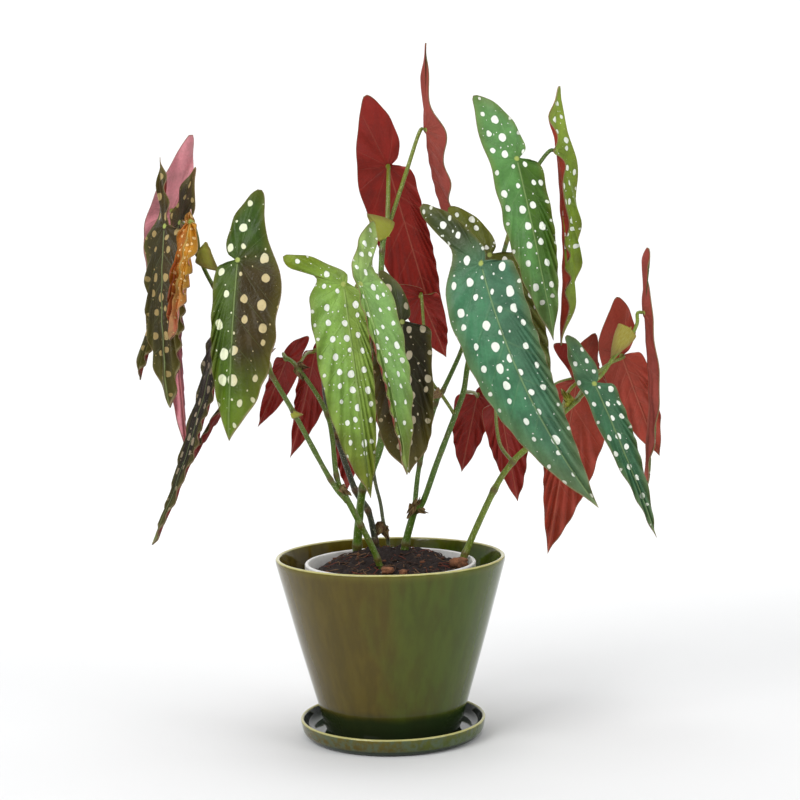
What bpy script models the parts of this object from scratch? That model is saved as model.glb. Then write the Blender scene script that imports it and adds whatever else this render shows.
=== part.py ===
"""Potted polka dot begonia: a cane begonia in a nursery pot, in a glazed planter on its saucer.

The tables are in millimetres and the meshes in metres. +Z is up, the front of the plant faces -Y, and
the origin is the centre of the saucer's underside. A leaf hangs from its joint, where the stalk meets
the blade, to its tip. Its outline is asymmetrical: a big half, a slim half and a back lobe over the joint.
"""

import math
from typing import NamedTuple

import bmesh
import bpy
from mathutils import Matrix, Vector

MM = 0.001
GAP = 0.3
WELD = 0.00001
COLLECTION = "potted_polka_dot_begonia"

# Turned pieces: (radius, height) points, from the axis inside, over the rim, to the axis underneath.
SAUCER_FLOOR = 4.0
PLANTER_FLOOR = 9.0
RIM_HEIGHT = 127.0
SAUCER = (
    (0, SAUCER_FLOOR), (57, SAUCER_FLOOR), (61, 6.5), (62.8, 12), (64, 13), (65.2, 12),
    (63.8, 4.5), (61, 1), (58, 0), (0, 0),
)
PLANTER = (
    (0, PLANTER_FLOOR), (42, PLANTER_FLOOR), (46, 12), (61.4, 66), (76.4, 122), (77.6, 126.4),
    (79, RIM_HEIGHT), (80.4, 126.2), (80.5, 124), (65.2, 67), (53, 24), (48.2, 7),
    (46, SAUCER_FLOOR + GAP), (0, SAUCER_FLOOR + GAP),
)
NURSERY_FLOOR = PLANTER_FLOOR + GAP
NURSERY_WALL = 1.5
NURSERY_POT = (
    (0, NURSERY_FLOOR + NURSERY_WALL), (38, NURSERY_FLOOR + NURSERY_WALL), (56.6, 117), (57.4, 122),
    (58.6, 122.6), (60, 121.8), (60, 117.5), (58.2, 117), (39.4, NURSERY_FLOOR), (0, NURSERY_FLOOR),
)
SOIL_BOTTOM = NURSERY_FLOOR + NURSERY_WALL + GAP
SOIL = (
    (0, 120.5), (20, 120.5), (38, 119), (50, 116.5), (55.7, 114), (37.6, SOIL_BOTTOM), (0, SOIL_BOTTOM),
)
SOIL_EDGE = 55.7
SOIL_TILT = 0.2
POT_STEPS = 48
SOIL_STEPS = 28
DRAIN_HOLES = 5
DRAIN_RADIUS = 4.0
DRAIN_RING = 26.0
DRAIN_DEPTH = 6.0
SOCKET_CLEARANCE = 20.0

LEAF_THICK = 0.8
STALK_STANDOFF = 1.5
STALK_APPROACH = 9.0
ROUND_STEPS = 3

# The blade's outline in fractions of its length: (towards the tip, towards the big half).
SINUS = (-0.005, -0.02)
BACK_LOBE = ((-0.05, -0.065), (-0.16, -0.05), (-0.30, 0.02), (-0.40, 0.14), (-0.30, 0.17), (-0.12, 0.165))
LOBE_TURN = (0.5, 1, 1, 1, 1, 0.5)
STATIONS = (0.06, 0.25, 0.45, 0.65, 0.84)
WIDEST = 0.2
SLIM_SHOULDER = 0.02


class Leaf(NamedTuple):
    """A blade: where it hangs, which way its upper side looks, and its shape in parts of its length."""

    name: str
    joint: tuple
    tip: tuple
    facing: float  # degrees round +Z from the front, positive to the right
    hand: int  # 1 or -1: the side that the big half is on
    wide: float
    slim: float
    full: float = 2.0  # how blunt the blade is towards the tip
    lobe: float = 1.0
    narrow: float = 1.0  # the back lobe's width against its height
    sweep: float = 0.0  # degrees that the back lobe turns towards the big half
    bow: float = 0.0
    belly: float = 0.04
    fold: float = 8.0  # degrees that each half drops below the midrib


LEAVES = (
    Leaf("leaf_left_1", (-96, -62, 334), (-103, -80, 217), -10, -1,
         wide=0.25, slim=0.13, full=2.8, sweep=-8),
    Leaf("leaf_left_2", (-148, -27, 358), (-145, -40, 236), -40, 1,
         wide=0.17, slim=0.15, full=3, lobe=1.05, narrow=0.4, sweep=8),
    Leaf("leaf_left_3", (-150, 24, 370), (-146, 44, 190), -155, -1,
         wide=0.12, slim=0.03, full=1.1, lobe=0.75, narrow=0.6, sweep=-27),
    Leaf("leaf_left_4", (-141, -2, 361), (-172, -12, 254), -45, 1,
         wide=0.13, slim=0.10, lobe=0.85, sweep=-18, belly=0),
    Leaf("leaf_left_5", (-128, -48, 360), (-141, -64, 282), -20, 1,
         wide=0.09, slim=0.10, lobe=0.3, full=3),
    Leaf("leaf_left_6", (-118, 12, 286), (-172, 36, 131), -60, 1,
         wide=0.10, slim=0.065, full=1.6, lobe=0.4, belly=-0.03),
    Leaf("leaf_left_7", (-101, 35, 253), (-159, 56, 162), -105, 1,
         wide=0.06, slim=0.04, full=1.5, lobe=0.6),
    Leaf("leaf_left_8", (-72, 44, 264), (-96, 64, 213), 175, 1,
         wide=0.20, slim=0.13),
    Leaf("leaf_left_9", (-53, 72, 268), (-75, 98, 186), 170, 1,
         wide=0.21, slim=0.10, lobe=0.35),
    Leaf("leaf_mid_1", (-27, -66, 317), (-11, -92, 179), 5, 1,
         wide=0.17, slim=0.09, full=2.6, lobe=0.78, narrow=0.75, sweep=42),
    Leaf("leaf_mid_2", (-15, -100, 317), (12, -124, 198), 35, -1,
         wide=0.18, slim=0.03, full=2.2, lobe=1.05, narrow=0.65, sweep=22),
    Leaf("leaf_mid_3", (11, -40, 291), (14, -52, 190), 0, 1,
         wide=0.21, slim=0.19, full=5, lobe=0.9),
    Leaf("leaf_mid_4", (-31, 66, 213), (-32, 80, 163), 180, 1,
         wide=0.22, slim=0.20),
    Leaf("leaf_mid_5", (-11, 84, 278), (-1, 118, 192), 180, 1,
         wide=0.24, slim=0.16),
    Leaf("leaf_top_1", (3, 42, 400), (41, 88, 266), 180, -1,
         wide=0.17, slim=0.11, full=2.6, lobe=0.9, sweep=-19),
    Leaf("leaf_top_2", (31, 50, 426), (49, 66, 354), 100, 1,
         wide=0.26, slim=0.05, lobe=2, narrow=0.3, sweep=2, fold=-40, belly=-0.045),
    Leaf("leaf_top_3", (25, 50, 307), (43, 66, 262), 180, -1,
         wide=0.30, slim=0.25, lobe=1.4, sweep=35),
    Leaf("leaf_right_1", (63, -68, 329), (135, -97, 171), -5, 1,
         wide=0.17, slim=0.126, lobe=0.88, narrow=0.6, sweep=18, bow=0.05),
    Leaf("leaf_right_2", (90, -28, 399), (112, -44, 277), 10, 1,
         wide=0.15, slim=0.13, full=2.3),
    Leaf("leaf_right_3", (121, 16, 407), (125, 14, 271), 80, -1,
         wide=0.17, slim=0.06, full=2.5, lobe=0.9, narrow=0.7, sweep=8, fold=-32, belly=0.02),
    Leaf("leaf_right_4", (72, -8, 335), (111, -22, 218), 0, 1,
         wide=0.18, slim=0.185, lobe=0.85),
    Leaf("leaf_right_5", (138, -52, 248), (175, -76, 148), 15, 1,
         wide=0.09, slim=0.12, full=1.5, lobe=0.85, narrow=0.8, sweep=-12),
    Leaf("leaf_right_6", (168, 36, 262), (198, 56, 187), 180, -1,
         wide=0.20, slim=0.18, full=2.6, lobe=1.3, sweep=-35),
    Leaf("leaf_right_7", (181, 12, 293), (183, 22, 169), 102, 1,
         wide=0.08, slim=0.05, lobe=0.97, narrow=0.25, sweep=10, fold=-35, belly=0.03),
    Leaf("leaf_right_8", (138, 52, 244), (118, 86, 111), 175, 1,
         wide=0.20, slim=0.12, lobe=0.67, sweep=-10),
    Leaf("leaf_right_9", (82, 66, 228), (96, 86, 151), 180, 1,
         wide=0.22, slim=0.18, lobe=0.4),
    Leaf("leaf_right_10", (67, 92, 232), (55, 112, 171), 180, 1,
         wide=0.20, slim=0.24, lobe=0.4),
    Leaf("leaf_right_11", (154, 84, 247), (185, 104, 176), 180, -1,
         wide=0.20, slim=0.16, lobe=1.25, sweep=9),
)


class Shoot(NamedTuple):
    """A cane, a branch or a leaf stalk: its route, its radius at each end and the leaf that it carries."""

    route: tuple
    radii: tuple
    leaf: str = ""


CANES = {
    "cane_left": (
        Shoot(((-2, 0, 97), (-9, -6, 125), (-20, -12, 150), (-32, -18, 175)), (3.0, 2.6)),
        Shoot(
            ((-28, -16, 166), (-40, -20, 183), (-64, -24, 230), (-78, -24, 255), (-93, -20, 283),
             (-117, -14, 316), (-127, -12, 336), (-131, -12, 342)),
            (2.4, 1.8),
        ),
        Shoot(((-30, -17, 170), (-36, -15, 185), (-42, -2, 226), (-63, 12, 259), (-73, 20, 266)), (2.4, 1.8)),
        Shoot(((-117, -14, 316), (-110, -30, 327)), (1.5, 1.4), "leaf_left_1"),
        Shoot(((-129, -12, 339), (-138, -14, 351)), (1.5, 1.4), "leaf_left_2"),
        Shoot(((-124, -12.5, 330), (-132, -2, 350)), (1.4, 1.3), "leaf_left_3"),
        Shoot(((-130, -12, 340), (-136, -4, 352)), (1.4, 1.3), "leaf_left_4"),
        Shoot(((-127, -12, 336), (-126, -26, 349)), (1.4, 1.3), "leaf_left_5"),
        Shoot(((-93, -20, 283), (-104, -4, 289)), (1.4, 1.3), "leaf_left_6"),
        Shoot(((-78, -24, 255), (-84, 10, 264)), (1.4, 1.3), "leaf_left_7"),
        Shoot(((-70, 17, 264), (-74, 30, 268)), (1.4, 1.3), "leaf_left_8"),
        Shoot(((-63, 12, 259), (-58, 40, 267)), (1.4, 1.3), "leaf_left_9"),
    ),
    "cane_tall": (
        Shoot(
            ((-24, 39, 97), (-24, 36, 128), (-19, 20, 171), (-13, 14, 183), (-4, 6, 211), (-4, 2, 249),
             (-4, 2, 284), (-2, 8, 339), (3, 10, 359)),
            (3.6, 2.0),
        ),
        Shoot(((2, 9.6, 355), (3, 18, 381)), (1.7, 1.5), "leaf_top_1"),
        Shoot(((1, 9.2, 351), (16, 30, 395)), (1.7, 1.5), "leaf_top_2"),
        Shoot(((-4, 2, 284), (-8, -30, 312), (-5, -62, 322), (-12, -82, 322)), (1.5, 1.4), "leaf_mid_2"),
    ),
    "cane_back": (
        Shoot(
            ((-6, 43, 97), (-11, 42, 130), (-16, 45, 152), (-25, 45, 167), (-37, 42, 204), (-42, 40, 219),
             (-45, 30, 248), (-40, 10, 280), (-34, -10, 303)),
            (2.6, 1.8),
        ),
        Shoot(((-35, -7, 300), (-30, -36, 311)), (1.5, 1.4), "leaf_mid_1"),
        Shoot(((-37, 42, 204), (-34, 50, 211)), (1.3, 1.3), "leaf_mid_4"),
    ),
    "cane_thin": (
        Shoot(
            ((1, 45, 97), (-2, 46, 131), (-5, 48, 143), (-7, 50, 157), (-11, 54, 175), (-15, 60, 210),
             (-14, 64, 245), (-12, 68, 267)),
            (1.5, 1.3),
            "leaf_mid_5",
        ),
    ),
    "cane_fork": (
        Shoot(((6, 31, 97), (11, 28, 130), (18, 22, 156)), (3.2, 2.6)),
        Shoot(
            ((17, 23, 150), (22, 24, 188), (34, 20, 231), (39, 18, 240), (54, 12, 273), (62, 6, 305)),
            (2.0, 1.6),
        ),
        Shoot(
            ((17.5, 22.5, 153), (24, 17, 162), (34, 10, 190), (47, 2, 224), (53, -2, 241), (58, -4, 267),
             (72, -2, 301), (84, 8, 341), (98, 14, 381), (108, 16, 397)),
            (2.4, 1.5),
            "leaf_right_3",
        ),
        Shoot(((47, 2, 224), (37, -6, 240), (31, -10, 248), (20, -20, 271)), (1.4, 1.3), "leaf_mid_3"),
        Shoot(((34, 20, 231), (28, 28, 267)), (1.3, 1.2), "leaf_top_3"),
        Shoot(((58, -4, 267), (62, -26, 305)), (1.6, 1.5), "leaf_right_1"),
        Shoot(((84, 8, 341), (92, 4, 375)), (1.5, 1.4), "leaf_right_2"),
        Shoot(((61, 6.7, 301), (68, 4, 323)), (1.5, 1.4), "leaf_right_4"),
        Shoot(((53, -2, 241), (62, 40, 237)), (1.3, 1.2), "leaf_right_10"),
    ),
    "cane_right": (
        Shoot(
            ((42, 8, 97), (53, 11, 125), (74, 10, 170), (87, 6, 190), (99, 2, 202), (120, -4, 223),
             (133, -12, 236)),
            (2.8, 1.9),
        ),
        Shoot(((131, -11, 234), (137, -26, 243)), (1.5, 1.4), "leaf_right_5"),
        Shoot(((129, -9.6, 232), (141, 6, 246), (156, 16, 257)), (1.5, 1.4), "leaf_right_6"),
        Shoot(((97, 3, 199), (108, 40, 225), (125, 75, 240)), (1.5, 1.4), "leaf_right_11"),
        Shoot(
            ((130, -10.3, 233), (140, -8, 244), (149, -4, 251), (158, 0, 263), (168, 4, 273), (175, 7, 285)),
            (1.5, 1.4),
            "leaf_right_7",
        ),
        Shoot(((120, -4, 223), (128, 22, 237)), (1.5, 1.4), "leaf_right_8"),
        Shoot(((87, 6, 190), (79, 22, 202), (78, 46, 224)), (1.4, 1.3), "leaf_right_9"),
    ),
}

# Papery sheaths at the nodes, given as small blades.
STIPULES = (
    Leaf("stipule_left", (-122, -22, 341), (-112, -34, 327), -30, 1,
         wide=0.34, slim=0.30, lobe=0.2, full=1.4),
    Leaf("stipule_left_low", (-66, -29, 227), (-58, -31, 228), 0, 1,
         wide=0.30, slim=0.25, lobe=0.2, full=1.4),
    Leaf("stipule_tall", (5, 4, 350), (-12, -4, 365), 10, 1,
         wide=0.40, slim=0.30, lobe=0.2, full=1.4),
    Leaf("stipule_fork", (38, -14, 241), (29, -18, 237), 0, 1,
         wide=0.30, slim=0.25, lobe=0.2, full=1.4),
    Leaf("stipule_right", (166, -2, 285), (155, -4, 263), 5, 1,
         wide=0.34, slim=0.26, lobe=0.2, full=1.6),
)

# Pieces of bark lying on the mix: centre, half sizes and turn in degrees.
BARK_CHIPS = {
    "bark_chip_right": ((48, -3, 121.0), (6.5, 5, 3.6), 20),
    "bark_chip_front": ((-2, -22, 119.8), (4.5, 3.2, 2.6), -35),
    "bark_chip_small": ((9, -25, 118.8), (3, 2.4, 1.8), 60),
}

GLAZE = (0.10, 0.085, 0.018)
WHITE_PLASTIC = (0.80, 0.80, 0.78)
SOIL_BROWN = (0.018, 0.012, 0.010)
LEAF_GREEN = (0.06, 0.16, 0.05)
LEAF_RED = (0.20, 0.02, 0.02)
CANE_GREEN = (0.22, 0.36, 0.05)
STIPULE_OLIVE = (0.30, 0.30, 0.06)
BARK_ORANGE = (0.30, 0.10, 0.03)


def clear_scene():
    for thing in list(bpy.data.objects):
        bpy.data.objects.remove(thing, do_unlink=True)


def new_collection(name):
    """A collection that the scene shows."""
    collection = bpy.data.collections.new(name)
    bpy.context.scene.collection.children.link(collection)
    return collection


def material(name, colour, roughness, metallic=0.0):
    """A plain Principled material."""
    made = bpy.data.materials.new(name)
    made.use_nodes = True
    shader = made.node_tree.nodes["Principled BSDF"]
    shader.inputs["Base Color"].default_value = (*colour, 1)
    shader.inputs["Roughness"].default_value = roughness
    shader.inputs["Metallic"].default_value = metallic
    made.diffuse_color = (*colour, 1)
    return made


def place(name, data, collection, finish=None):
    """An object made of data, in the collection."""
    thing = bpy.data.objects.new(name, data)
    collection.objects.link(thing)
    if finish is not None:
        data.materials.append(finish)
    return thing


def as_cutter(thing):
    thing.hide_render = True
    thing.display_type = "WIRE"


def combine(thing, other, operation):
    """A live Boolean of another object on this one."""
    modifier = thing.modifiers.new(f"{operation.lower()}_{other.name}", "BOOLEAN")
    modifier.operation = operation
    modifier.solver = "EXACT"
    modifier.object = other


def evaluated_mesh(thing):
    """The mesh that the object evaluates to, with its doubles merged."""
    bpy.context.view_layer.update()
    mesh = bpy.data.meshes.new_from_object(thing.evaluated_get(bpy.context.evaluated_depsgraph_get()))
    edited = bmesh.new()
    edited.from_mesh(mesh)
    bmesh.ops.remove_doubles(edited, verts=edited.verts, dist=WELD)
    edited.to_mesh(mesh)
    edited.free()
    return mesh


# Turned pieces


def turned(name, profile, steps, collection, finish):
    """A profile turned about the axis, closed where it meets the axis."""
    mesh = bpy.data.meshes.new(name)
    points = [(radius * MM, 0, height * MM) for radius, height in profile]
    mesh.from_pydata(points, [(i, i + 1) for i in range(len(points) - 1)], [])
    thing = place(name, mesh, collection, finish)
    screw = thing.modifiers.new("turn", "SCREW")
    screw.steps = steps
    screw.render_steps = steps
    screw.use_merge_vertices = True
    screw.merge_threshold = WELD
    screw.use_smooth_shade = True
    return thing


def drain_holes(pot, cutters):
    """A ring of holes through the nursery pot's floor."""
    for index in range(DRAIN_HOLES):
        angle = math.tau * index / DRAIN_HOLES
        mesh = bpy.data.meshes.new(f"drain_hole_{index}")
        drill = bmesh.new()
        bmesh.ops.create_cone(
            drill, cap_ends=True, segments=10, depth=DRAIN_DEPTH * MM,
            radius1=DRAIN_RADIUS * MM, radius2=DRAIN_RADIUS * MM,
        )
        drill.to_mesh(mesh)
        drill.free()
        hole = place(mesh.name, mesh, cutters)
        hole.location = Vector((math.cos(angle), math.sin(angle), 0)) * DRAIN_RING * MM
        hole.location.z = NURSERY_FLOOR * MM
        as_cutter(hole)
        combine(pot, hole, "DIFFERENCE")


def potting_soil(canes, collection, cutters, finish):
    """The mix: a turned body, higher at the back, with a socket for each cane."""
    body = turned("potting_soil", SOIL, SOIL_STEPS, collection, None)
    mesh = evaluated_mesh(body)
    for vertex in mesh.vertices:
        if vertex.co.z > SOIL_BOTTOM * MM + WELD:
            inward = 1 - vertex.co.xy.length_squared / (SOIL_EDGE * MM) ** 2
            vertex.co.z += SOIL_TILT * vertex.co.y * max(inward, 0)
    bpy.data.objects.remove(body)
    soil = place("potting_soil", mesh, collection, finish)
    for name, shoots in canes.items():
        foot, top = Vector(shoots[0].route[0]), Vector(shoots[0].route[1])
        down = (foot - top).normalized()
        reach = (foot + down * GAP, top - down * SOCKET_CLEARANCE)
        radius = shoots[0].radii[0] + GAP
        socket = tube(f"socket_{name}", reach, (radius, radius), cutters)
        as_cutter(socket)
        combine(soil, socket, "DIFFERENCE")
    return soil


# Canes and stalks


def tube(name, route, radii, collection, finish=None):
    """A tapering tube along the route, as a closed mesh."""
    curve = bpy.data.curves.new(name, "CURVE")
    curve.dimensions = "3D"
    curve.bevel_depth = MM
    curve.bevel_resolution = 2
    curve.use_fill_caps = True
    spline = curve.splines.new("POLY")
    spline.points.add(len(route) - 1)
    for index, (point, place_on_route) in enumerate(zip(spline.points, route)):
        share = index / (len(route) - 1)
        point.co = (*(Vector(place_on_route) * MM), 1)
        point.radius = radii[0] + (radii[1] - radii[0]) * share
    drawn = place(name, curve, collection)
    mesh = evaluated_mesh(drawn)
    bpy.data.objects.remove(drawn)
    return place(name, mesh, collection, finish)


def stalk_route(shoot, leaves):
    """The shoot's route, carried on to its leaf: up behind the joint, then square on to the blade."""
    if not shoot.leaf:
        return shoot.route
    leaf = leaves[shoot.leaf]
    normal = leaf_axes(leaf)[2]
    joint = Vector(leaf.joint)
    return (*shoot.route, joint - normal * STALK_APPROACH, joint - normal * STALK_STANDOFF)


def cane(name, shoots, leaves, collection, cutters, finish):
    """A cane with its branches and leaf stalks, united into one body."""
    trunk = tube(name, stalk_route(shoots[0], leaves), shoots[0].radii, collection, finish)
    for index, shoot in enumerate(shoots[1:], 1):
        branch = tube(f"{name}_shoot_{index}", stalk_route(shoot, leaves), shoot.radii, cutters)
        as_cutter(branch)
        combine(trunk, branch, "UNION")
    return trunk


# Leaves


def leaf_axes(leaf):
    """The blade's length, and its directions: along it, across to the big half, and out of its upper side."""
    span = Vector(leaf.tip) - Vector(leaf.joint)
    along = span.normalized()
    turn = math.radians(leaf.facing)
    facing = Vector((math.sin(turn), -math.cos(turn), 0))
    normal = (facing - along * facing.dot(along)).normalized()
    across = along.cross(normal) * leaf.hand
    return span.length, along, normal, across


def outline(leaf):
    """The blade's margin as (along, across) fractions, from the sinus over the back lobe and the tip."""

    def half_width(share):
        return 1 - max(0, (share - WIDEST) / (1 - WIDEST)) ** leaf.full

    lobe = []
    for (a, b), turned_share in zip(BACK_LOBE, LOBE_TURN):
        turn = Matrix.Rotation(-math.radians(leaf.sweep) * turned_share, 2)
        lobe.append(tuple(turn @ Vector((a, b * leaf.narrow)) * leaf.lobe))
    big = [(share, leaf.wide * half_width(share)) for share in STATIONS]
    slim = [(share, -leaf.slim * half_width(share)) for share in reversed(STATIONS)]
    return [SINUS, *lobe, *big, (1, 0), *slim, (SLIM_SHOULDER, -0.6 * leaf.slim)]


def leaf_point(leaf, a, b):
    """The place of a point of the blade, bowed sideways, arched along the midrib and folded across it."""
    length, along, normal, across = leaf_axes(leaf)
    arch = 4 * a * (1 - a) if a > 0 else 4 * a
    fold = math.radians(leaf.fold)
    side = b * math.cos(fold) + leaf.bow * arch
    height = leaf.belly * arch - abs(b) * math.sin(fold)
    return Vector(leaf.joint) + (along * a + across * side + normal * height) * length


def blade(leaf, collection, finish):
    """A leaf blade: a grid wrapped round the joint, from the joint to the margin, given a thickness."""
    margin = outline(leaf)
    around = len(margin)
    mesh = bpy.data.meshes.new(leaf.name)
    sheet = bmesh.new()
    bmesh.ops.create_grid(sheet, x_segments=ROUND_STEPS, y_segments=around, size=0.5)
    for vertex in sheet.verts:
        reach = vertex.co.x + 0.5
        a, b = margin[round((vertex.co.y + 0.5) * around) % around]
        vertex.co = leaf_point(leaf, a * reach, b * reach) * MM
    bmesh.ops.remove_doubles(sheet, verts=sheet.verts, dist=WELD)
    bmesh.ops.triangulate(sheet, faces=sheet.faces)
    bmesh.ops.recalc_face_normals(sheet, faces=sheet.faces)
    sheet.to_mesh(mesh)
    sheet.free()
    thing = place(leaf.name, mesh, collection, finish)
    solid = thing.modifiers.new("thickness", "SOLIDIFY")
    solid.thickness = LEAF_THICK * MM
    solid.offset = 0
    mesh.shade_smooth()
    return thing


def bark_chip(name, centre, half_sizes, turn, collection, finish):
    """A rough block of bark: a coarse ball, flattened and turned."""
    mesh = bpy.data.meshes.new(name)
    lump = bmesh.new()
    bmesh.ops.create_icosphere(lump, subdivisions=1, radius=1)
    bmesh.ops.scale(lump, vec=Vector(half_sizes) * MM, verts=lump.verts)
    about = Matrix.Rotation(math.radians(turn), 3, "Z")
    bmesh.ops.rotate(lump, cent=(0, 0, 0), matrix=about, verts=lump.verts)
    lump.to_mesh(mesh)
    lump.free()
    chip = place(name, mesh, collection, finish)
    chip.location = Vector(centre) * MM
    return chip


def main():
    clear_scene()
    parts = new_collection(COLLECTION)
    cutters = new_collection("cutters")
    glaze = material("glaze", GLAZE, 0.12)
    turned("saucer", SAUCER, POT_STEPS, parts, glaze)
    turned("planter", PLANTER, POT_STEPS, parts, glaze)
    pot = turned("nursery_pot", NURSERY_POT, SOIL_STEPS, parts, material("white_plastic", WHITE_PLASTIC, 0.4))
    drain_holes(pot, cutters)
    potting_soil(CANES, parts, cutters, material("potting_mix", SOIL_BROWN, 0.95))
    stem_green = material("cane", CANE_GREEN, 0.4)
    leaves = {leaf.name: leaf for leaf in LEAVES}
    for name, shoots in CANES.items():
        cane(name, shoots, leaves, parts, cutters, stem_green)
    leaf_green = material("leaf_green", LEAF_GREEN, 0.35)
    leaf_red = material("leaf_red", LEAF_RED, 0.35)
    for leaf in LEAVES:
        looks_back = math.cos(math.radians(leaf.facing)) < 0
        blade(leaf, parts, leaf_red if looks_back else leaf_green)
    papery = material("stipule", STIPULE_OLIVE, 0.6)
    for stipule in STIPULES:
        blade(stipule, parts, papery)
    bark = material("bark", BARK_ORANGE, 0.9)
    for name, (centre, half_sizes, turn) in BARK_CHIPS.items():
        bark_chip(name, centre, half_sizes, turn, parts, bark)


main()
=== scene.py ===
"""Potted polka dot begonia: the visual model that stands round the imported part.

A blade is two polar sheets about its joint, closed at the margin. Canes and stalks are tubes carried along
smooth routes. The saucer and the pots are turned profiles. The tables are in millimetres, meshes are in
metres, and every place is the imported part's own.
"""

import math
from typing import NamedTuple

import bpy
import numpy as np
from mathutils import Matrix, Vector


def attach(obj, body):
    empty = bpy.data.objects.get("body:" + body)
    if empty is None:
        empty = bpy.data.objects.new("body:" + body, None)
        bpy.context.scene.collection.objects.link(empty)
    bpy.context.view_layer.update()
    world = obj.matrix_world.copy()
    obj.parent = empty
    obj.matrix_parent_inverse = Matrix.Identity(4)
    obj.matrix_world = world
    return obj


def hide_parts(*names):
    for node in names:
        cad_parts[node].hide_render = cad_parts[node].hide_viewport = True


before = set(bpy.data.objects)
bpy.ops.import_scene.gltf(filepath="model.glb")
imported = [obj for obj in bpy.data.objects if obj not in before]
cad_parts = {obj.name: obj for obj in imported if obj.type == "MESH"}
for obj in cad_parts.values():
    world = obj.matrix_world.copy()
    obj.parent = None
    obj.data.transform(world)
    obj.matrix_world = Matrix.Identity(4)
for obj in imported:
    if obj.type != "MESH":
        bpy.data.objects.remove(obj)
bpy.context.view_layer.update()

bl_info = {
    "name": "Potted polka dot begonia",
    "version": (1, 0, 0),
    "blender": (4, 5, 0),
    "location": "3D View > Sidebar > Begonia",
    "description": "Makes a cane begonia in a glazed planter, piece by piece",
    "category": "Add Mesh",
}

MM = 0.001
GAP = 0.3
BODY = "root"

# Turned pieces: (radius, height, rounding) from the axis inside, over the rim, to the axis underneath.
SAUCER_FLOOR = 4.0
PLANTER_FLOOR = 9.0
NURSERY_FLOOR = PLANTER_FLOOR + GAP
SAUCER = (
    (0, SAUCER_FLOOR, 0), (57, SAUCER_FLOOR, 3), (61, 6.5, 2), (62.8, 12, 0.9), (64, 13, 0.9),
    (65.2, 12, 0.9), (63.8, 4.5, 2), (61, 1, 1.5), (58, 0, 0.8), (0, 0, 0),
)
PLANTER = (
    (0, PLANTER_FLOOR, 0), (42, PLANTER_FLOOR, 3), (46, 12, 3), (61.4, 66, 6), (76.4, 122, 4),
    (77.6, 126.4, 0.9), (79, 127, 0.9), (80.4, 126.2, 0.9), (80.5, 124, 1), (65.2, 67, 8), (53, 24, 8),
    (48.2, 7, 2), (46, SAUCER_FLOOR + GAP, 0.8), (0, SAUCER_FLOOR + GAP, 0),
)
NURSERY_POT = (
    (0, NURSERY_FLOOR + 1.5, 0), (38, NURSERY_FLOOR + 1.5, 2), (56.6, 117, 2), (57.4, 122, 0.6),
    (58.6, 122.6, 0.5), (60, 121.8, 0.6), (60, 117.5, 0.5), (58.2, 117, 0.6), (39.4, NURSERY_FLOOR, 1),
    (0, NURSERY_FLOOR, 0),
)
SOIL_RIM = (55.7, 114.0)
SOIL_HEIGHTS = ((0, 120.5), (20, 120.5), (38, 119), (50, 116.5), SOIL_RIM)
SOIL_FOOT = (37.6, NURSERY_FLOOR + 1.5 + GAP)
SOIL_TILT = 0.2
SOIL_HEAP = (38.0, 3.0)  # the mix is heaped up at the back: how far back, and how high

# The blade's outline in fractions of its length: (towards the tip, towards the big half).
SINUS = (-0.005, -0.02)
BACK_LOBE = ((-0.05, -0.065), (-0.16, -0.05), (-0.30, 0.02), (-0.40, 0.14), (-0.30, 0.17), (-0.12, 0.165))
LOBE_TURN = (0.5, 1, 1, 1, 1, 0.5)
STATIONS = (0.06, 0.25, 0.45, 0.65, 0.84)
WIDEST = 0.2
SLIM_SHOULDER = 0.02
DRIP_TIP = (0.95, 0.27)  # where the tip is drawn in, and its share of the last station's width
STALK_APPROACH = 5.0
SPOT_STRETCH = 1.25
RIB_STEP = 0.15
FAN_STEP = math.radians(34)


class Coat(NamedTuple):
    """A blade's colours, as display values of 0 to 255."""

    big: tuple
    slim: tuple
    lobe: tuple
    tip: tuple
    spots: tuple = (236, 240, 228)
    # painted shade: the spots' colour on the big half, away from the lobe and the tip, darker than spots
    # where a coat paints that half as in shade
    shaded_half_spots: tuple = (236, 240, 228)
    under: tuple = (128, 38, 30)


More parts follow.
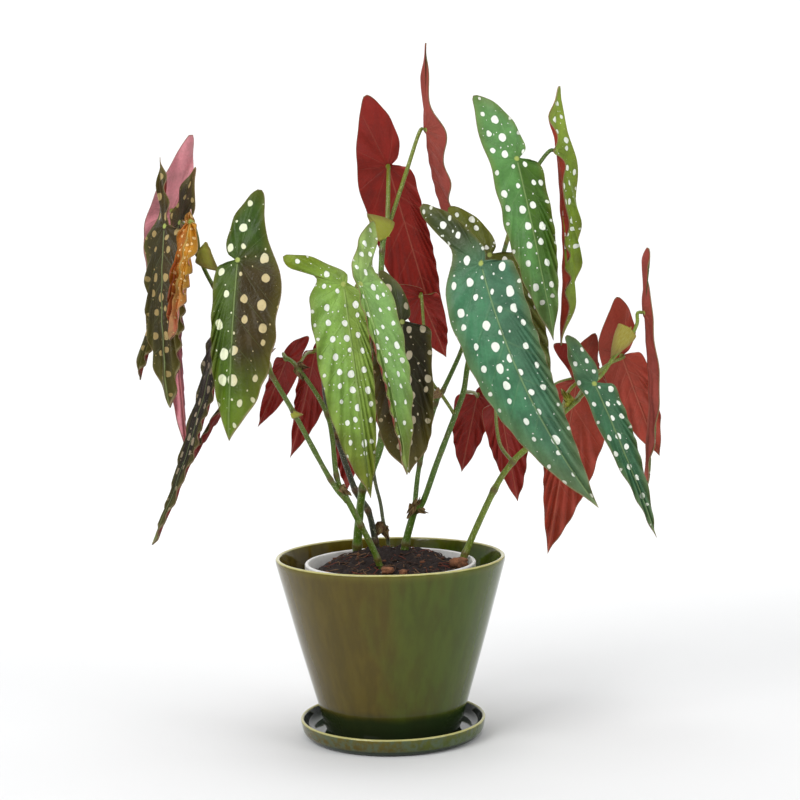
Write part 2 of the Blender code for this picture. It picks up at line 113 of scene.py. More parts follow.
COATS = {
    # painted shade: this coat's brown-olive big half and the tan spots on it stand for that half in shade;
    # the slim half is the leaf's green
    "shaded_half_olive": Coat((56, 44, 6), (62, 84, 12), (50, 76, 8), (84, 120, 14), (226, 230, 196),
                       (196, 178, 130)),
    "olive": Coat((52, 46, 12), (58, 46, 14), (60, 46, 12), (50, 48, 14), (164, 142, 92), (150, 128, 80)),
    "dark": Coat((54, 42, 8), (38, 34, 8), (56, 64, 26), (60, 50, 16), (190, 180, 150), (170, 150, 110)),
    "slate": Coat((40, 32, 20), (36, 28, 18), (46, 42, 22), (52, 52, 34), (150, 136, 112), (150, 136, 112)),
    "young": Coat((176, 104, 34), (184, 124, 26), (176, 122, 44), (200, 104, 88), (226, 190, 130),
                  (226, 190, 130), (206, 120, 100)),
    "fresh": Coat((126, 164, 70), (128, 156, 66), (112, 136, 22), (96, 112, 16)),
    "mint": Coat((124, 164, 88), (112, 146, 64), (136, 162, 88), (90, 114, 34)),
    "blue_green": Coat((58, 108, 72), (56, 96, 66), (72, 110, 74), (72, 112, 84)),
    # painted shadow: this coat's dark olive lobe colour stands for the shadow on the back lobe
    "blue_olive_shaded_lobe": Coat((66, 120, 84), (66, 108, 80), (60, 70, 34), (74, 112, 86)),
    "green": Coat((84, 132, 66), (62, 96, 22), (92, 138, 76), (92, 138, 78)),
    "lime": Coat((112, 136, 30), (108, 134, 30), (128, 150, 44), (126, 150, 44), under=(158, 58, 34)),
    # painted shadow: this coat's dark brown big half stands for the shadow that falls on it from the leaves
    # in front
    "moss_shaded_half": Coat((66, 58, 18), (86, 92, 32), (90, 98, 20), (112, 150, 90)),
    "pink_under": Coat((84, 64, 32), (96, 70, 34), (90, 66, 34), (66, 58, 36), under=(212, 140, 146)),
    "red": Coat((70, 86, 26), (60, 74, 22), (66, 82, 26), (74, 90, 30), under=(146, 38, 28)),
    "rose": Coat((70, 86, 26), (60, 74, 22), (66, 82, 26), (74, 90, 30), under=(158, 72, 60)),
    "sheath": Coat((164, 170, 50), (164, 170, 50), (164, 170, 50), (150, 156, 60), under=(130, 136, 50)),
    "olive_sheath": Coat((144, 130, 36), (144, 130, 36), (144, 130, 36), (120, 112, 34),
                         under=(110, 100, 36)),
    "husk": Coat((96, 58, 44), (96, 58, 44), (96, 58, 44), (70, 44, 38), under=(84, 48, 40)),
    "ember": Coat((84, 86, 28), (76, 76, 24), (84, 86, 28), (84, 84, 34), under=(166, 64, 44)),
}


class Leaf(NamedTuple):
    """A blade: where it hangs, which way its upper side looks, its shape in parts of its length, its coat."""

    name: str
    joint: tuple
    tip: tuple
    facing: float  # degrees round +Z from the front, positive to the right
    hand: int  # 1 or -1: the side that the big half is on
    coat: str
    wide: float
    slim: float
    full: float = 2.0  # how blunt the blade is towards the tip
    lobe: float = 1.0
    narrow: float = 1.0  # the back lobe's width against its height
    sweep: float = 0.0  # degrees that the back lobe turns towards the big half
    bow: float = 0.0
    belly: float = 0.04
    fold: float = 8.0  # degrees that each half drops below the midrib
    frill: float = 1.3  # height of the margin's waves in millimetres
    scallop: float = 0.038  # depth of the margin's waves in the blade, in parts of its width
    pitch: float = 17.0  # length of one of those waves in millimetres
    spacing: float = 10.5  # distance from one large spot to the next in millimetres
    pucker: float = 1.0  # how much the blade puckers between its veins


LEAVES = (
    Leaf("leaf_left_1", (-96, -62, 334), (-103, -80, 217), -10, -1, "shaded_half_olive",
         wide=0.25, slim=0.13, full=2.8, sweep=-8, spacing=13),
    Leaf("leaf_left_2", (-148, -27, 358), (-145, -40, 236), -40, 1, "olive",
         wide=0.17, slim=0.15, full=3, lobe=1.05, narrow=0.4, sweep=8, frill=2, spacing=11),
    Leaf("leaf_left_3", (-150, 24, 370), (-146, 44, 190), -155, -1, "pink_under",
         wide=0.12, slim=0.03, full=1.1, lobe=0.75, narrow=0.6, sweep=-27, frill=1.6),
    Leaf("leaf_left_4", (-141, -2, 361), (-172, -12, 254), -45, 1, "olive",
         wide=0.13, slim=0.10, lobe=0.85, sweep=-18, belly=0, frill=2),
    Leaf("leaf_left_5", (-128, -48, 360), (-141, -64, 282), -20, 1, "young",
         wide=0.09, slim=0.10, lobe=0.3, full=3, frill=3.4, scallop=0.2, spacing=4, pucker=5),
    Leaf("leaf_left_6", (-118, 12, 286), (-172, 36, 131), -60, 1, "slate",
         wide=0.10, slim=0.065, full=1.6, lobe=0.4, belly=-0.03),
    Leaf("leaf_left_7", (-101, 35, 253), (-159, 56, 162), -105, 1, "slate",
         wide=0.06, slim=0.04, full=1.5, lobe=0.6),
    Leaf("leaf_left_8", (-72, 44, 264), (-96, 64, 213), 175, 1, "red",
         wide=0.20, slim=0.13),
    Leaf("leaf_left_9", (-53, 72, 268), (-75, 98, 186), 170, 1, "red",
         wide=0.21, slim=0.10, lobe=0.35),
    Leaf("leaf_mid_1", (-27, -66, 317), (-11, -92, 179), 5, 1, "fresh",
         wide=0.17, slim=0.09, full=2.6, lobe=0.78, narrow=0.75, sweep=42, spacing=9),
    Leaf("leaf_mid_2", (-15, -100, 317), (12, -124, 198), 35, -1, "mint",
         wide=0.18, slim=0.03, full=2.2, lobe=1.05, narrow=0.65, sweep=22, spacing=8),
    Leaf("leaf_mid_3", (11, -40, 291), (14, -52, 190), 0, 1, "dark",
         wide=0.21, slim=0.19, full=5, lobe=0.9, spacing=12),
    Leaf("leaf_mid_4", (-31, 66, 213), (-32, 80, 163), 180, 1, "red",
         wide=0.22, slim=0.20),
    Leaf("leaf_mid_5", (-11, 84, 278), (-1, 118, 192), 180, 1, "red",
         wide=0.24, slim=0.16),
    Leaf("leaf_top_1", (3, 42, 400), (41, 88, 266), 180, -1, "red",
         wide=0.17, slim=0.11, full=2.6, lobe=0.9, sweep=-19),
    Leaf("leaf_top_2", (31, 50, 426), (49, 66, 354), 100, 1, "rose",
         wide=0.26, slim=0.05, lobe=2, narrow=0.3, sweep=2, fold=-40, belly=-0.045,
         frill=1.2, scallop=0.35, pitch=20),
    Leaf("leaf_top_3", (25, 50, 307), (43, 66, 262), 180, -1, "red",
         wide=0.30, slim=0.25, lobe=1.4, sweep=35),
    Leaf("leaf_right_1", (63, -68, 329), (135, -97, 171), -5, 1, "blue_olive_shaded_lobe",
         wide=0.17, slim=0.126, lobe=0.88, narrow=0.6, sweep=18, bow=0.05, spacing=11.5),
    Leaf("leaf_right_2", (90, -28, 399), (112, -44, 277), 10, 1, "green",
         wide=0.15, slim=0.13, full=2.3),
    Leaf("leaf_right_3", (121, 16, 407), (125, 14, 271), 80, -1, "lime",
         wide=0.17, slim=0.06, full=2.5, lobe=0.9, narrow=0.7, sweep=8, fold=-32, belly=0.02,
         frill=2.2, scallop=0.16, pitch=30, spacing=9),
    Leaf("leaf_right_4", (72, -8, 335), (111, -22, 218), 0, 1, "moss_shaded_half",
         wide=0.18, slim=0.185, lobe=0.85),
    Leaf("leaf_right_5", (138, -52, 248), (175, -76, 148), 15, 1, "blue_green",
         wide=0.09, slim=0.12, full=1.5, lobe=0.85, narrow=0.8, sweep=-12, spacing=8.5),
    Leaf("leaf_right_6", (168, 36, 262), (198, 56, 187), 180, -1, "ember",
         wide=0.20, slim=0.18, full=2.6, lobe=1.3, sweep=-35),
    Leaf("leaf_right_7", (181, 12, 293), (183, 22, 169), 102, 1, "rose",
         wide=0.08, slim=0.05, lobe=0.97, narrow=0.25, sweep=10, fold=-35, belly=0.03,
         frill=1.6, scallop=0.14, pitch=30),
    Leaf("leaf_right_8", (138, 52, 244), (118, 86, 111), 175, 1, "ember",
         wide=0.20, slim=0.12, lobe=0.67, sweep=-10),
    Leaf("leaf_right_9", (82, 66, 228), (96, 86, 151), 180, 1, "red",
         wide=0.22, slim=0.18, lobe=0.4),
    Leaf("leaf_right_10", (67, 92, 232), (55, 112, 171), 180, 1, "red",
         wide=0.20, slim=0.24, lobe=0.4),
    Leaf("leaf_right_11", (154, 84, 247), (185, 104, 176), 180, -1, "red",
         wide=0.20, slim=0.16, lobe=1.25, sweep=9),
)

# The papery sheaths at the nodes, and the dried scraps of older ones.
SHEATH = {"lobe": 0.2, "full": 1.4, "scallop": 0.0, "pucker": 0.0}
SCRAP = {"wide": 0.34, "slim": 0.28, "lobe": 0.2, "full": 1.4, "frill": 2.0, "scallop": 0.1, "pucker": 0.5}
STIPULES = (
    Leaf("stipule_left", (-126, -19, 342), (-112, -34, 327), -30, 1, "sheath",
         wide=0.34, slim=0.30, frill=0.2, **SHEATH),
    Leaf("stipule_left_low", (-66, -25, 229), (-57, -29, 229), 0, 1, "sheath",
         wide=0.30, slim=0.25, frill=0.2, **SHEATH),
    Leaf("stipule_tall", (2, 8, 350), (-12, -4, 365), 10, 1, "sheath",
         wide=0.40, slim=0.30, frill=0.4, **SHEATH),
    Leaf("stipule_fork", (37, -7, 241), (29, -16, 237), 0, 1, "husk",
         wide=0.30, slim=0.25, frill=0.4, **SHEATH),
    Leaf("stipule_right", (170, 3, 282), (155, -4, 263), 5, 1, "olive_sheath",
         wide=0.34, slim=0.26, frill=0.4, **{**SHEATH, "full": 1.6}),
)
SCRAPS = (
    Leaf("husk_fork_low", (17, 20, 158), (13, 12, 151), 0, 1, "husk", **SCRAP),
    Leaf("husk_fork_right", (18, 20, 158), (26, 13, 154), 0, 1, "husk", **SCRAP),
    Leaf("husk_fork_top", (18, 20, 158), (22, 13, 165), 0, 1, "husk", **SCRAP),
    Leaf("husk_left_node", (-33, -18, 178), (-26, -22, 172), 0, 1, "husk", **SCRAP),
    Leaf("husk_thin_left", (-5, 47, 142), (-12, 41, 132), 0, 1, "husk", **SCRAP),
    Leaf("husk_thin_right", (-5, 47, 140), (-1, 42, 130), 0, 1, "husk", **SCRAP),
    Leaf("husk_high_right", (-64, 13, 261), (-55, 8, 259), 0, 1, "husk", **SCRAP),
    Leaf("husk_high_left", (-63, 12, 259), (-59, 7, 250), 0, 1, "husk", **SCRAP),
    Leaf("husk_back_cane", (-39, 40.5, 211), (-35, 36, 204), 0, 1, "husk", **SCRAP),
    Leaf("bud_right", (127, -8, 231), (120, -11, 242), 0, 1, "sheath", **SCRAP),
)


class Shoot(NamedTuple):
    """A cane, a branch or a leaf stalk: its route, its radius at each end and the leaf that it carries."""

    route: tuple
    radii: tuple
    leaf: str = ""


class Cane(NamedTuple):
    """A cane with its branches and stalks, and the colour of its skin."""

    tint: tuple
    shoots: tuple
    girth: float = 0.92  # the skin's share of the body's thickness


CANES = {
    "cane_left": Cane((84, 110, 22), (
        Shoot(((-2, 0, 97), (-9, -6, 125), (-20, -12, 150), (-32, -18, 175)), (3.0, 2.6)),
        Shoot(
            ((-28, -16, 166), (-40, -20, 183), (-64, -24, 230), (-78, -24, 255), (-93, -20, 283),
             (-117, -14, 316), (-127, -12, 336), (-131, -12, 342)),
            (2.4, 1.8),
        ),
        Shoot(((-30, -17, 170), (-36, -15, 185), (-42, -2, 226), (-63, 12, 259), (-73, 20, 266)), (2.4, 1.8)),
        Shoot(((-117, -14, 316), (-110, -30, 327)), (1.5, 1.4), "leaf_left_1"),
        Shoot(((-129, -12, 339), (-138, -14, 351)), (1.5, 1.4), "leaf_left_2"),
        Shoot(((-124, -12.5, 330), (-132, -2, 350)), (1.4, 1.3), "leaf_left_3"),
        Shoot(((-130, -12, 340), (-136, -4, 352)), (1.4, 1.3), "leaf_left_4"),
        Shoot(((-127, -12, 336), (-126, -26, 349)), (1.4, 1.3), "leaf_left_5"),
        Shoot(((-93, -20, 283), (-104, -4, 289)), (1.4, 1.3), "leaf_left_6"),
        Shoot(((-78, -24, 255), (-84, 10, 264)), (1.4, 1.3), "leaf_left_7"),
        Shoot(((-70, 17, 264), (-74, 30, 268)), (1.4, 1.3), "leaf_left_8"),
        Shoot(((-63, 12, 259), (-58, 40, 267)), (1.4, 1.3), "leaf_left_9"),
    ), 0.78),
    "cane_tall": Cane((84, 116, 24), (
        Shoot(
            ((-24, 39, 97), (-24, 36, 128), (-19, 20, 171), (-13, 14, 183), (-4, 6, 211), (-4, 2, 249),
             (-4, 2, 284), (-2, 8, 339), (3, 10, 359)),
            (3.6, 2.0),
        ),
        Shoot(((2, 9.6, 355), (3, 18, 381)), (1.7, 1.5), "leaf_top_1"),
        Shoot(((1, 9.2, 351), (16, 30, 395)), (1.7, 1.5), "leaf_top_2"),
        Shoot(((-4, 2, 284), (-8, -30, 312), (-5, -62, 322), (-12, -82, 322)), (1.5, 1.4), "leaf_mid_2"),
    )),
    "cane_back": Cane((42, 48, 18), (
        Shoot(
            ((-6, 43, 97), (-11, 42, 130), (-16, 45, 152), (-25, 45, 167), (-37, 42, 204), (-42, 40, 219),
             (-45, 30, 248), (-40, 10, 280), (-34, -10, 303)),
            (2.6, 1.8),
        ),
        Shoot(((-35, -7, 300), (-30, -36, 311)), (1.5, 1.4), "leaf_mid_1"),
        Shoot(((-37, 42, 204), (-34, 50, 211)), (1.3, 1.3), "leaf_mid_4"),
    )),
    "cane_thin": Cane((84, 92, 58), (
        Shoot(
            ((1, 45, 97), (-2, 46, 131), (-5, 48, 143), (-7, 50, 157), (-11, 54, 175), (-15, 60, 210),
             (-14, 64, 245), (-12, 68, 267)),
            (1.5, 1.3),
            "leaf_mid_5",
        ),
    )),
    "cane_fork": Cane((76, 108, 20), (
        Shoot(((6, 31, 97), (11, 28, 130), (18, 22, 156)), (3.2, 2.6)),
        Shoot(
            ((17, 23, 150), (22, 24, 188), (34, 20, 231), (39, 18, 240), (54, 12, 273), (62, 6, 305)),
            (2.0, 1.6),
        ),
        Shoot(
            ((17.5, 22.5, 153), (24, 17, 162), (34, 10, 190), (47, 2, 224), (53, -2, 241), (58, -4, 267),
             (72, -2, 301), (84, 8, 341), (98, 14, 381), (108, 16, 397)),
            (2.4, 1.5),
            "leaf_right_3",
        ),
        Shoot(((47, 2, 224), (37, -6, 240), (31, -10, 248), (20, -20, 271)), (1.4, 1.3), "leaf_mid_3"),
        Shoot(((34, 20, 231), (28, 28, 267)), (1.3, 1.2), "leaf_top_3"),
        Shoot(((58, -4, 267), (62, -26, 305)), (1.6, 1.5), "leaf_right_1"),
        Shoot(((84, 8, 341), (92, 4, 375)), (1.5, 1.4), "leaf_right_2"),
        Shoot(((61, 6.7, 301), (68, 4, 323)), (1.5, 1.4), "leaf_right_4"),
        Shoot(((53, -2, 241), (62, 40, 237)), (1.3, 1.2), "leaf_right_10"),
    )),
    "cane_right": Cane((112, 132, 28), (
        Shoot(
            ((42, 8, 97), (53, 11, 125), (74, 10, 170), (87, 6, 190), (99, 2, 202), (120, -4, 223),
             (133, -12, 236)),
            (2.8, 1.9),
        ),
        Shoot(((131, -11, 234), (137, -26, 243)), (1.5, 1.4), "leaf_right_5"),
        Shoot(((129, -9.6, 232), (141, 6, 246), (156, 16, 257)), (1.5, 1.4), "leaf_right_6"),
        Shoot(((97, 3, 199), (108, 40, 225), (125, 75, 240)), (1.5, 1.4), "leaf_right_11"),
        Shoot(
            ((130, -10.3, 233), (140, -8, 244), (149, -4, 251), (158, 0, 263), (168, 4, 273), (175, 7, 285)),
            (1.5, 1.4),
            "leaf_right_7",
        ),
        Shoot(((120, -4, 223), (128, 22, 237)), (1.5, 1.4), "leaf_right_8"),
        Shoot(((87, 6, 190), (79, 22, 202), (78, 46, 224)), (1.4, 1.3), "leaf_right_9"),
    )),
}
STALK_TINT = (108, 122, 30)
NODE_TINT = (96, 66, 38)
NODE_REACH = 2.4  # how far a node's swelling and colour reach along its cane
BLUNT_END = 1.2
STALK_POINTS = 5  # a shoot with a leaf and more points than this is a cane that ends in its leaf

# Pieces of bark lying on the mix: centre, half sizes and turn in degrees.
BARK_CHIPS = {
    "bark_chip_right": ((48, -3, 121.0), (6.5, 5, 3.6), 20),
    "bark_chip_front": ((-2, -22, 119.8), (4.5, 3.2, 2.6), -35),
    "bark_chip_small": ((9, -25, 118.8), (3, 2.4, 1.8), 60),
}


# The lights: name, place and aim in metres, width and height in metres, power in watts.
LIGHTS = (
    ("key", (-1.1, -1.2, 1.3), (0, 0, 0.27), (0.9, 0.9), 22),
    ("fill", (1.4, -0.9, 0.8), (0, 0, 0.28), (0.7, 1.2), 9),
    ("top", (0.1, 0.2, 1.8), (0, 0, 0.2), (1.2, 1.0), 10),
    ("backdrop", (0.0, 1.1, 2.2), (0, 3.2, 0.9), (3.0, 1.0), 60),
)
CAMERA_PLACE = (0.0087, -1.150, 0.322)
CAMERA_DIP = 4.3  # degrees that it looks down
CAMERA_ROLL = -1.0


# Settings


def colour_setting(name, description, default):
    """A colour that can be set in the sidebar."""
    return bpy.props.FloatVectorProperty(name=name, description=description, default=default, subtype="COLOR")


def length_setting(name, description, default):
    """A length in metres that can be set in the sidebar."""
    return bpy.props.FloatProperty(name=name, description=description, default=default, unit="LENGTH")


def share_setting(name, description, default):
    """A share of something that can be set in the sidebar."""
    return bpy.props.FloatProperty(name=name, description=description, default=default, subtype="FACTOR")


def count_setting(name, description, default):
    """A whole number that can be set in the sidebar."""
    return bpy.props.IntProperty(name=name, description=description, default=default)


class BegoniaLeafSettings(bpy.types.PropertyGroup):
    """Sizes and colours that all blades share."""

    thickness: length_setting("Thickness", "Thickness of a blade", 0.0007)
    around: count_setting("Steps around", "Points round a blade's margin", 176)
    rings: count_setting("Rings", "Rings from the joint to the margin", 34)
    quilting: length_setting("Quilting", "Height of the puckers between the veins", 0.0003)
    spot_size: share_setting("Spot size", "Radius of a small spot in parts of the spots' spacing", 0.135)
    margin: colour_setting("Margin", "Colour of the thin line round a blade", (0.30, 0.22, 0.11))
    joint: colour_setting("Joint", "Colour where the stalk meets the blade", (0.42, 0.50, 0.12))


class BegoniaCaneSettings(bpy.types.PropertyGroup):
    """Sizes that the canes and stalks share."""

    sides: count_setting("Sides", "Points round a cane", 20)
    swelling: share_setting("Node swelling", "Share by which a cane thickens at its nodes", 0.22)


class BegoniaPotSettings(bpy.types.PropertyGroup):
    """Sizes and colours of the planter, the saucer and the nursery pot."""

    steps: count_setting("Steps", "Points round a turned piece", 192)
    glaze: colour_setting("Glaze", "Colour of the glaze", (0.084, 0.060, 0.004))
    glaze_green: colour_setting("Green glaze", "Colour where the glaze runs green", (0.050, 0.086, 0.006))
    # the rim colour is partly the glaze thinning on the edge and partly a painted highlight along the rim
    rim: colour_setting("Rim", "Colour where the glaze is thin on an edge", (0.50, 0.47, 0.19))
    plastic: colour_setting("Nursery pot", "Colour of the inner pot", (0.78, 0.78, 0.76))


class BegoniaSoilSettings(bpy.types.PropertyGroup):
    """Sizes and colours of the potting mix."""

    crumbs: count_setting("Crumbs", "Loose crumbs on the mix", 620)
    fibres: count_setting("Fibres", "Loose fibres on the mix", 110)
    lumps: length_setting("Lumps", "Height of the lumps in the mix", 0.0012)
    peat: colour_setting("Peat", "Colour of the mix", (0.020, 0.013, 0.011))
    bark: colour_setting("Bark", "Colour of the bark chips", (0.20, 0.085, 0.04))


class BegoniaStageSettings(bpy.types.PropertyGroup):
    """The floor, the lights and the camera."""

    floor: colour_setting("Floor", "Colour of the floor and backdrop", (0.80, 0.80, 0.80))
    lens: bpy.props.FloatProperty(name="Lens", description="Focal length", default=74.5, unit="CAMERA")
    world: bpy.props.FloatProperty(
        name="World", description="Strength of the light from all round", default=0.5, subtype="FACTOR"
    )


# Surfaces


def unit(vectors):
    """Vectors scaled to length one."""
    return vectors / np.maximum(np.linalg.norm(vectors, axis=-1, keepdims=True), 1e-12)


def ease(values, low, high):
    """0 up to low, 1 from high on, and the smooth cubic between."""
    share = np.clip((values - low) / (high - low), 0, 1)
    return share * share * (3 - 2 * share)


def display(colour):
    """Display values of 0 to 255 as scene values."""
    share = np.asarray(colour, float) / 255
    return np.where(share <= 0.04045, share / 12.92, ((share + 0.055) / 1.055) ** 2.4)


def ripple(places, pitch, seed, waves=24):
    """Smooth noise of about -1 to 1: the sum of plane waves of one pitch in random directions."""
    draw = np.random.default_rng(seed)
    ways = unit(draw.normal(size=(waves, places.shape[-1]))) * math.tau / pitch
    ways *= draw.uniform(0.6, 1.5, (waves, 1))
    phases = draw.uniform(0, math.tau, waves)
    return np.cos(places @ ways.T + phases).sum(axis=-1) * math.sqrt(2 / waves) * 0.6


def smooth_route(points, step):
    """A Catmull-Rom curve through the points, read at even steps: the places and the distance gone."""
    points = np.asarray(points, float)
    padded = np.vstack([2 * points[0] - points[1], points, 2 * points[-1] - points[-2]])
    spans = len(points) - 1
    fine = np.linspace(0, spans, spans * 24 + 1)
    span = np.minimum(fine.astype(int), spans - 1)
    t = (fine - span)[:, None]
    before, start, end, after = (padded[span + i] for i in range(4))
    curve = 0.5 * (
        2 * start + (end - before) * t + (2 * before - 5 * start + 4 * end - after) * t**2
        + (3 * start - before - 3 * end + after) * t**3
    )
    gone = np.concatenate([[0], np.cumsum(np.linalg.norm(np.diff(curve, axis=0), axis=1))])
    even = np.linspace(0, gone[-1], max(math.ceil(gone[-1] / step), 2) + 1)
    return np.column_stack([np.interp(even, gone, curve[:, i]) for i in range(points.shape[1])]), even


def grid_quads(rows, columns, wrapped, first=0):
    """Corner numbers of a grid's faces, row by row, closed across its last column if wrapped."""
    row = np.arange(rows - 1)[:, None] * columns
    column = np.arange(columns if wrapped else columns - 1)[None]
    onward = (column + 1) % columns
    faces = np.stack([row + column, row + onward, row + columns + onward, row + columns + column], axis=-1)
    return faces.reshape(-1, 4) + first


def fan(ring, pole):
    """Triangles from each side of a closed ring to a pole."""
    return np.column_stack([ring, np.roll(ring, -1), np.full(len(ring), pole)])


class Surface(NamedTuple):
    """A closed surface as arrays: points, faces of four and of three corners, and values at the points."""

    points: np.ndarray
    quads: np.ndarray
    tris: np.ndarray
    values: dict


def outward(surface):
    """The surface with its faces pointing out: they are turned round if they enclose a negative volume."""
    quads, tris = surface.quads, surface.tris
    corners = surface.points[np.vstack([quads[:, :3], quads[:, [0, 2, 3]], tris])]
    volume = np.einsum("ij,ij->i", corners[:, 0], np.cross(corners[:, 1], corners[:, 2])).sum()
    if volume < 0:
        return surface._replace(quads=quads[:, ::-1], tris=tris[:, ::-1])
    return surface


def joined(surfaces):
    """Several surfaces as one set of arrays."""
    starts = np.cumsum([0] + [len(s.points) for s in surfaces[:-1]])
    return Surface(
        np.vstack([s.points for s in surfaces]),
        np.vstack([s.quads + start for s, start in zip(surfaces, starts)]),
        np.vstack([s.tris + start for s, start in zip(surfaces, starts)]),
        {key: np.concatenate([s.values[key] for s in surfaces]) for key in surfaces[0].values},
    )


def lay_values(mesh, corners, values):
    """Puts values at points on the mesh: pairs as a UV map, threes as colours, single numbers as they are."""
    for key, value in values.items():
        if value.ndim == 1:
            layer = mesh.attributes.new(key, "FLOAT", "POINT")
            layer.data.foreach_set("value", value.astype(np.float32))
        elif value.shape[1] == 2:
            layer = mesh.uv_layers.new(name=key)
            layer.data.foreach_set("uv", value[corners].astype(np.float32).ravel())
        else:
            layer = mesh.attributes.new(key, "FLOAT_COLOR", "POINT")
            solid = np.column_stack([value, np.ones(len(value))])
            layer.data.foreach_set("color", solid.astype(np.float32).ravel())


def piece(name, surfaces, material, replaced):
    """One object made of closed surfaces in metres, riding on the body and standing for CAD nodes."""
    whole = joined([outward(s) for s in surfaces])
    corners = np.concatenate([whole.quads.ravel(), whole.tris.ravel()])
    sizes = np.concatenate([np.full(len(whole.quads), 4), np.full(len(whole.tris), 3)])
    mesh = bpy.data.meshes.new(name)
    mesh.vertices.add(len(whole.points))
    mesh.vertices.foreach_set("co", whole.points.astype(np.float32).ravel())
    mesh.loops.add(len(corners))
    mesh.loops.foreach_set("vertex_index", corners.astype(np.int32))
    mesh.polygons.add(len(sizes))
    mesh.polygons.foreach_set("loop_start", np.concatenate([[0], np.cumsum(sizes)[:-1]]).astype(np.int32))
    mesh.update(calc_edges=True)
    lay_values(mesh, corners, whole.values)
    mesh.shade_smooth()
    mesh.materials.append(material)
    made = bpy.data.objects.new(f"{name}_piece", mesh)
    bpy.context.scene.collection.objects.link(made)
    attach(made, BODY)
    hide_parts(*replaced)


def tube(route, radii, sides, values):
    """A tube: rings of points square to the route, with a point closing each end. Values are one a ring."""
    along = unit(np.gradient(route, axis=0))
    guide = np.eye(3)[np.argmin(np.abs(along).mean(axis=0))]
    side = unit(np.cross(along, guide))
    turn = math.tau * np.arange(sides) / sides
    spokes = side[:, None] * np.cos(turn)[:, None] + np.cross(along, side)[:, None] * np.sin(turn)[:, None]
    rings = route[:, None] + spokes * radii[:, None, None]
    rows = len(route)
    ends = rows * sides
    tris = np.vstack([fan(np.arange(sides), ends), fan(np.arange(ends - sides, ends), ends + 1)])
    tris[:sides] = tris[:sides, ::-1]
    spread = {key: np.concatenate([np.repeat(v, sides, axis=0), v[:1], v[-1:]]) for key, v in values.items()}
    points = np.vstack([rings.reshape(-1, 3), route[:1], route[-1:]])
    return Surface(points, grid_quads(rows, sides, True), tris[:, ::-1], spread)


def turned(profile, steps):
    """A profile with rounded corners turned about the axis. Each corner is a curve that sets out a rounding's
    length before it and ends as far after, or half-way to the next corner where that is nearer."""
    corners = np.array([corner[:2] for corner in profile], float)
    reach = np.array([corner[2] for corner in profile], float)[1:-1, None]
    back, onward = corners[:-2] - corners[1:-1], corners[2:] - corners[1:-1]
    limit = np.minimum(np.linalg.norm(back, axis=1), np.linalg.norm(onward, axis=1))[:, None] / 2
    reach = np.minimum(reach, limit)
    start, end = corners[1:-1] + unit(back) * reach, corners[1:-1] + unit(onward) * reach
    t = np.linspace(0, 1, 7)[None, :, None]
    rounded = start[:, None] * (1 - t) ** 2 + corners[1:-1, None] * 2 * t * (1 - t) + end[:, None] * t**2
    line = rounded.reshape(-1, 2)
    turn = math.tau * np.arange(steps) / steps
    ring = np.column_stack([np.cos(turn), np.sin(turn)])
    rings = np.concatenate(
        [line[:, None, :1] * ring[None], np.broadcast_to(line[:, None, 1:], (len(line), steps, 1))], axis=-1
    )
    poles = np.array([[0, 0, profile[0][1]], [0, 0, profile[-1][1]]], float)
    ends = len(line) * steps
    tris = np.vstack([fan(np.arange(steps), ends)[:, ::-1], fan(np.arange(ends - steps, ends), ends + 1)])
    points = np.vstack([rings.reshape(-1, 3), poles]) * MM
    return Surface(points, grid_quads(len(line), steps, True), tris, {})


# Blades


def leaf_axes(leaf):
    """The blade's length, and its directions: along it, out of its upper side, and across to the big half."""
    span = np.subtract(leaf.tip, leaf.joint).astype(float)
    along = unit(span)
    turn = math.radians(leaf.facing)
    facing = np.array([math.sin(turn), -math.cos(turn), 0])
    normal = unit(facing - along * facing.dot(along))
    return np.linalg.norm(span), along, normal, np.cross(along, normal) * leaf.hand


def half_margin(controls, count):
    """A smooth line through control points of the margin, as count points at even distances."""
    curve, _ = smooth_route(controls, 0.002)
    picked = np.linspace(0, len(curve) - 1, count + 1)[:-1]
    return np.column_stack([np.interp(picked, np.arange(len(curve)), curve[:, i]) for i in range(2)])


def margin(leaf, count):
    """The margin in fractions of the length: over the back lobe and the big half to the tip, then back."""

    def half_width(share):
        return 1 - max(0, (share - WIDEST) / (1 - WIDEST)) ** leaf.full

    turns = np.radians(leaf.sweep) * -np.array(LOBE_TURN)
    a, b = np.array(BACK_LOBE, float).T * leaf.lobe
    b *= leaf.narrow
    lobe = np.column_stack([a * np.cos(turns) - b * np.sin(turns), a * np.sin(turns) + b * np.cos(turns)])
    drip, drawn_in = DRIP_TIP
    edge = [(share, half_width(share)) for share in STATIONS]
    edge.append((drip, drawn_in * half_width(STATIONS[-1])))
    big = [(share, leaf.wide * width) for share, width in edge]
    slim = [(share, -leaf.slim * width) for share, width in reversed(edge)]
    outer = half_margin([SINUS, *lobe, *big, (1, 0)], count // 2)
    inner = half_margin([(1, 0), *slim, (SLIM_SHOULDER, -0.6 * leaf.slim), SINUS], count - count // 2)
    return np.vstack([outer, inner])


def ribs(a, b):
    """Numbers that are whole on the veins: slanting ones off the midrib, and a fan about the joint."""
    side_veins = (a - 1.15 * np.abs(b)) / RIB_STEP
    sinus_angle = math.atan2(SINUS[1], SINUS[0])
    fan_veins = (np.mod(np.arctan2(b, a) - sinus_angle, math.tau) + sinus_angle) / FAN_STEP
    return side_veins, fan_veins


